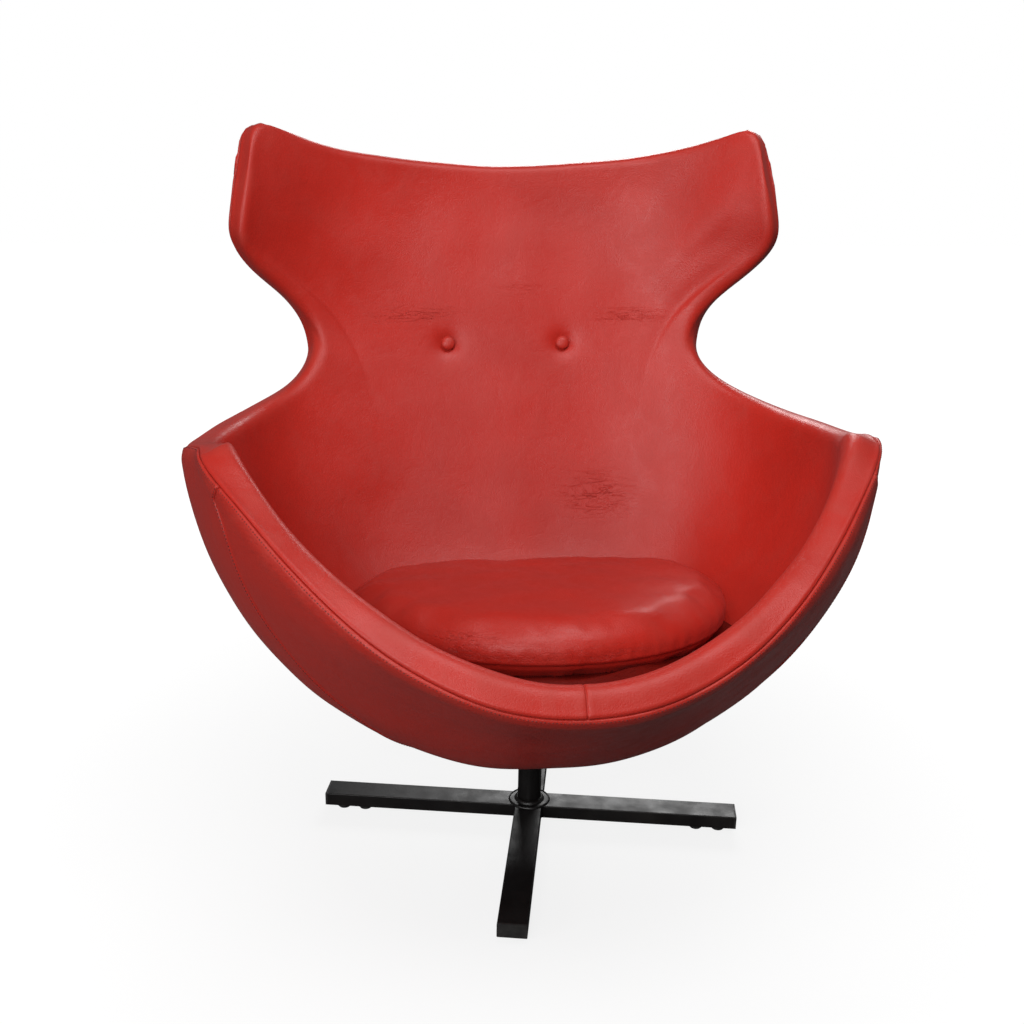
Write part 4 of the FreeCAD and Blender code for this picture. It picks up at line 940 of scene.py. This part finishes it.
# the slack fold wanders along the front edge, with a shallow dip behind it
fold_line = np.abs(edge - 0.034 - 0.012 * np.sin(9 * top[..., 0] + 0.6))
in_front = (np.clip((-top[..., 1] - 0.15) / 0.06, 0, 1)
            * np.exp(-((top[..., 0] - 0.02) / 0.15) ** 4))
lift = lift + in_front * (0.011 * bell(fold_line, 0.009) - 0.004 * bell(edge - 0.052, 0.008))
top[..., 2] += lift
points = np.concatenate([top, foot])
deck_piece = piece("seat_deck", points, grid_faces(len(points), DECK_AROUND, True, True),
                   shade_darkened_deck_red, "seat")
set_wear_sheen_and_creases(deck_piece, 0.3, 0.5)
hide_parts("deck_cover", "deck_foam")

# ---------------------------------------------------------------- loose seat cushion
# A D-shaped foam cushion in a boxed leatherette cover, full in front, with its lower seam
# showing and an ear of gathered cover at each side where the front meets the back.
HALF_WIDTH, FRONT, BACK, CORNER, THICK = 0.292, 0.268, 0.172, 0.150, 0.075
# it is drawn level about the swivel axis, moved ASIDE to the right, then tilted with the deck
# and raised on to its cloth
ASIDE, ABOVE_DECK, UNDERSIDE = 0.008, 0.0015 + 0.0005, 0.0003
CUSHION_PLACE = np.array(
    Matrix.Translation((0, 0, DECK_LEVEL + ABOVE_DECK)) @ Matrix.Rotation(-DECK_TILT, 4, "X")
    @ Matrix.Translation((0, 0, UNDERSIDE)))
CUSHION_AROUND = 180


def on_cushion(points):
    """Points drawn level about the swivel axis, tilted and raised as the cushion lies."""
    return np.asarray(points) @ CUSHION_PLACE[:3, :3].T + CUSHION_PLACE[:3, 3]


def cushion_outline(inset):
    """A half circle in front, round corners behind, in even steps of the run."""
    wide, centre = HALF_WIDTH - inset, HALF_WIDTH - FRONT
    turn, back = CORNER - inset, BACK - inset
    bow = np.radians(np.linspace(180, 360, 200))
    right = np.radians(np.linspace(0, 90, 80))
    left = np.radians(np.linspace(90, 180, 80))
    line = np.concatenate([
        np.stack([wide * np.cos(bow), centre + wide * np.sin(bow)], -1),
        np.stack([wide - turn + turn * np.cos(right), back - turn + turn * np.sin(right)], -1),
        np.stack([turn - wide + turn * np.cos(left), back - turn + turn * np.sin(left)], -1)])
    line = np.concatenate([line, line[:1]])
    run = run_along(line[None])[0]
    spots = np.linspace(0, run[-1], CUSHION_AROUND, endpoint=False)
    return np.stack([np.interp(spots, run, line[:, 0]), np.interp(spots, run, line[:, 1])], -1)


def cushion_form(inset, thick, crown, rounding):
    """Rows from the middle of the underside out, up a rounded side and in over a low crown: the
    outline drawn towards the heart by one minus the lean's cosine, and raised by its sine."""
    outline = cushion_outline(inset)
    heart, heart_reach = np.array((0, -0.04)), 0.24
    edge_in = outline + (heart - outline) * (rounding / heart_reach)

    def ring_at(line, height):
        """One closed row: the line's places, all at one height."""
        return np.column_stack([line, np.full(CUSHION_AROUND, height)])

    inner = np.linspace(0.03, 1, 16)[:-1]
    rows = [ring_at(heart + (edge_in - heart) * s, 0) for s in inner]
    for lean in np.radians(np.linspace(-90, 90, 13)):
        pull = rounding * (1 - np.cos(lean)) / heart_reach
        rows.append(ring_at(outline + (heart - outline) * pull, thick * (1 + np.sin(lean)) / 2))
    rows += [ring_at(heart + (edge_in - heart) * s, thick + crown * (1 - s ** 2.4))
             for s in inner[::-1]]
    return np.array(rows)


# it starts 8 mm inside the outline, to leave room for the filling, and is off its body while
# it settles
form = cushion_form(0.008, THICK - 0.012, 0.004, 0.034)
cushion = piece("seat_cushion", form, capped_faces(len(form), CUSHION_AROUND), cover_red,
                "cushion")
cushion.parent = None


def vertex_rows(thing, kind):
    """A piece's vertex places (co) or normals (normal), three numbers a row."""
    values = np.empty(len(thing.data.vertices) * 3)
    thing.data.vertices.foreach_get(kind, values)
    return values.reshape(-1, 3)


SETTLE_STEPS = 20


def settle(thing, voxel, cap, pressure):
    """Inflate a pad as cloth, let no point move further than cap, then smooth and divide it."""
    bpy.context.view_layer.objects.active = thing
    remesh = thing.modifiers.new("even_mesh", "REMESH")
    remesh.mode, remesh.voxel_size, remesh.use_smooth_shade = "VOXEL", voxel, True
    bpy.ops.object.modifier_apply(modifier="even_mesh")
    before = vertex_rows(thing, "co")
    cloth = thing.modifiers.new("filling", "CLOTH")
    cloth.settings.use_pressure = True
    cloth.settings.uniform_pressure_force = pressure
    cloth.settings.effector_weights.gravity = 0
    cloth.settings.tension_stiffness = 12
    cloth.settings.compression_stiffness = 12
    cloth.settings.bending_stiffness = 0.4
    cloth.point_cache.frame_start, cloth.point_cache.frame_end = 1, SETTLE_STEPS
    for step in range(1, SETTLE_STEPS + 1):
        scene.frame_set(step)
    bpy.ops.object.modifier_apply(modifier="filling")
    scene.frame_set(1)
    move = vertex_rows(thing, "co") - before
    far = np.linalg.norm(move, axis=1, keepdims=True)
    move *= np.minimum(1, cap / np.maximum(far, 1e-9))
    thing.data.vertices.foreach_set("co", (before + move).ravel())
    relaxed = thing.modifiers.new("relaxed", "SMOOTH")
    relaxed.factor, relaxed.iterations = 0.5, 12
    bpy.ops.object.modifier_apply(modifier="relaxed")
    smoother = thing.modifiers.new("smoother", "SUBSURF")
    smoother.levels = smoother.render_levels = 1
    bpy.ops.object.modifier_apply(modifier="smoother")
    thing.data.update()


settle(cushion, 0.006, 0.011, 4.0)
local, normals = vertex_rows(cushion, "co"), vertex_rows(cushion, "normal")

# the boxed side: a lower seam with a swell over it, and cover gathered along the seam
angle = np.arctan2(local[:, 1] - 0.014, local[:, 0])
sideways = np.clip(1 - np.abs(normals[:, 2]), 0, 1)
lower_seam = np.abs(local[:, 2] - 0.016)
lift = np.where(sideways > 0.35, -0.0018 * bell(lower_seam, 0.0022)
                + 0.0012 * bell(local[:, 2] - 0.021, 0.0035), 0)
gathers = np.sin(64 * angle + 3 * np.sin(5 * angle))
lift += 0.0004 * gathers * sideways * bell(local[:, 2] - 0.028, 0.012)

# an ear at each side, with folds that fan out from it
for tip in (-1, 1):
    apart = local - (tip * (HALF_WIDTH + 0.002), 0.02, 0.045)
    near_tip = bell(np.linalg.norm(apart * (0.8, 1, 1), axis=1), 0.055)
    fan = np.arctan2(apart[:, 1], -tip * apart[:, 0] + 0.012)
    lift += near_tip * 0.0016 * np.sin(11 * fan + tip)
    lift += 0.006 * bell(np.linalg.norm(apart, axis=1), 0.022)
lift += 0.0012 * ripples(local, 0.09, 21) * np.clip(normals[:, 2] + 0.4, 0, 1)
local = local + normals * lift[:, None]

# the underside is pressed flat where it lies on the deck
local[:, 2] = np.where(local[:, 2] < 0.0035, local[:, 2] * 0.1, local[:, 2])
local[:, 2] = np.maximum(local[:, 2], 0)
# paler band round the cushion's upper side: rubbed wear and a painted highlight along the crown's
# edge
worn_and_painted_sheen = bell(local[:, 2] - 0.06, 0.02) * sideways
creased = (0.08 + 0.5 * blob(local, (-0.13, -0.2, 0.045), (0.05, 0.06, 0.02))
           + 0.4 * blob(local, (0.02, -0.25, 0.03), (0.1, 0.06, 0.01))
           + 0.6 * blob(local, (-0.27, 0.02, 0.05), (0.03, 0.05, 0.04)))
local[:, 0] += ASIDE
cushion.data.vertices.foreach_set("co", on_cushion(local).ravel())
cushion.data.update()
cushion.data.polygons.foreach_set("use_smooth", np.ones(len(cushion.data.polygons), bool))
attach(cushion, "cushion")
set_wear_sheen_and_creases(cushion, worn_and_painted_sheen, creased)
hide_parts("cushion_cover", "cushion_foam")

# ---------------------------------------------------------------- zip
# A coil zip in the middle of the cushion's back: woven tape, two rows of nylon coil and a small
# metal slider with its pull hanging down. Both lie in the plane of the outline's back edge; the
# settled cushion's wall ends 18 to 20 mm in front of it, so they stand off the cover.


def box_grid(centre, sizes, rounding):
    """A rounded block: a cube scaled to these sizes, with its edges bevelled."""
    form = bmesh.new()
    bmesh.ops.create_cube(form, size=1.0)
    bmesh.ops.scale(form, vec=sizes, verts=form.verts)
    bmesh.ops.bevel(form, geom=form.edges[:], offset=rounding, segments=3, affect="EDGES")
    points = np.array([v.co for v in form.verts]) + centre
    faces = [[v.index for v in f.verts] for f in form.faces]
    form.free()
    return points, faces


def joined(parts):
    """Several (points, faces) as one."""
    points, faces, count = [], [], 0
    for some_points, some_faces in parts:
        points.append(np.asarray(some_points))
        faces += [[index + count for index in f] for f in some_faces]
        count += len(some_points)
    return np.concatenate(points), faces


ZIP_HALF, ZIP_LEVEL, TAPE_HALF = 0.115, THICK / 2, 0.0034
TAPE_BACK, TAPE_FRONT = 0.0001, 0.00025
WEAVE_PITCH, COIL_PITCH = 0.0016, 0.0022
across = np.linspace(-1, 1, 41)[:, None]
along = np.linspace(-ZIP_HALF, ZIP_HALF, 231)[None, :]
weave = 0.00012 * np.sin(2 * np.pi * along / WEAVE_PITCH) * np.cos(2 * np.pi * across * 4)
coil = 0.0006 * bell(np.abs(across) - 0.14, 0.09) * (
    0.7 + 0.3 * np.sin(2 * np.pi * along / COIL_PITCH))
front = np.stack(np.broadcast_arrays(along, BACK + TAPE_FRONT + weave + coil,
                                     ZIP_LEVEL + TAPE_HALF * across), -1)
back = front.copy()
back[..., 1] = BACK + TAPE_BACK
points, faces = closed_sheet(front, back, False)
zip_cloth = mottled("zip_tape", (0.16, 0.01, 0.009), 0.75,
                    ((900, 3), 0.35, 0.65, (0.12, 0.008, 0.007), (0.22, 0.016, 0.013)),
                    ((500, 2), 0.62, 0.85), ((1800, 2, 0.0, (1, 1, 2)), 0.00008))
tape = piece("zip_tape_and_coil", on_cushion(points), faces, zip_cloth, "cushion")
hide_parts("zip_tape")

low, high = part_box("zip_slider")
COIL_HIGH, SLIDER_OFF = 0.0009, 0.0012
slider_x = (low.x + high.x) / 2
slider_y = BACK + COIL_HIGH + SLIDER_OFF
nickel = mottled("nickel_slider", (0.5, 0.49, 0.47), 0.3,
                 ((300, 4), 0.4, 0.7, (0.55, 0.54, 0.52), (0.38, 0.36, 0.33)),
                 ((600, 3), 0.24, 0.42), ((1500, 2), 0.00004), metal=1.0)
slider_parts = [
    box_grid((slider_x, slider_y + 0.0003, ZIP_LEVEL), (0.0115, 0.0018, 0.0056), 0.0006),
    box_grid((slider_x - 0.001, slider_y + 0.0016, ZIP_LEVEL), (0.006, 0.0012, 0.0016), 0.0004),
    box_grid((slider_x + 0.001, slider_y + 0.0022, ZIP_LEVEL - 0.007), (0.0042, 0.0009, 0.014),
             0.0004)]
points, faces = joined(slider_parts)
slider = piece("zip_slider_body", on_cushion(points), faces, nickel, "zip_slider",
               smooth=False)
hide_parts("zip_slider")

bpy.context.view_layer.update()
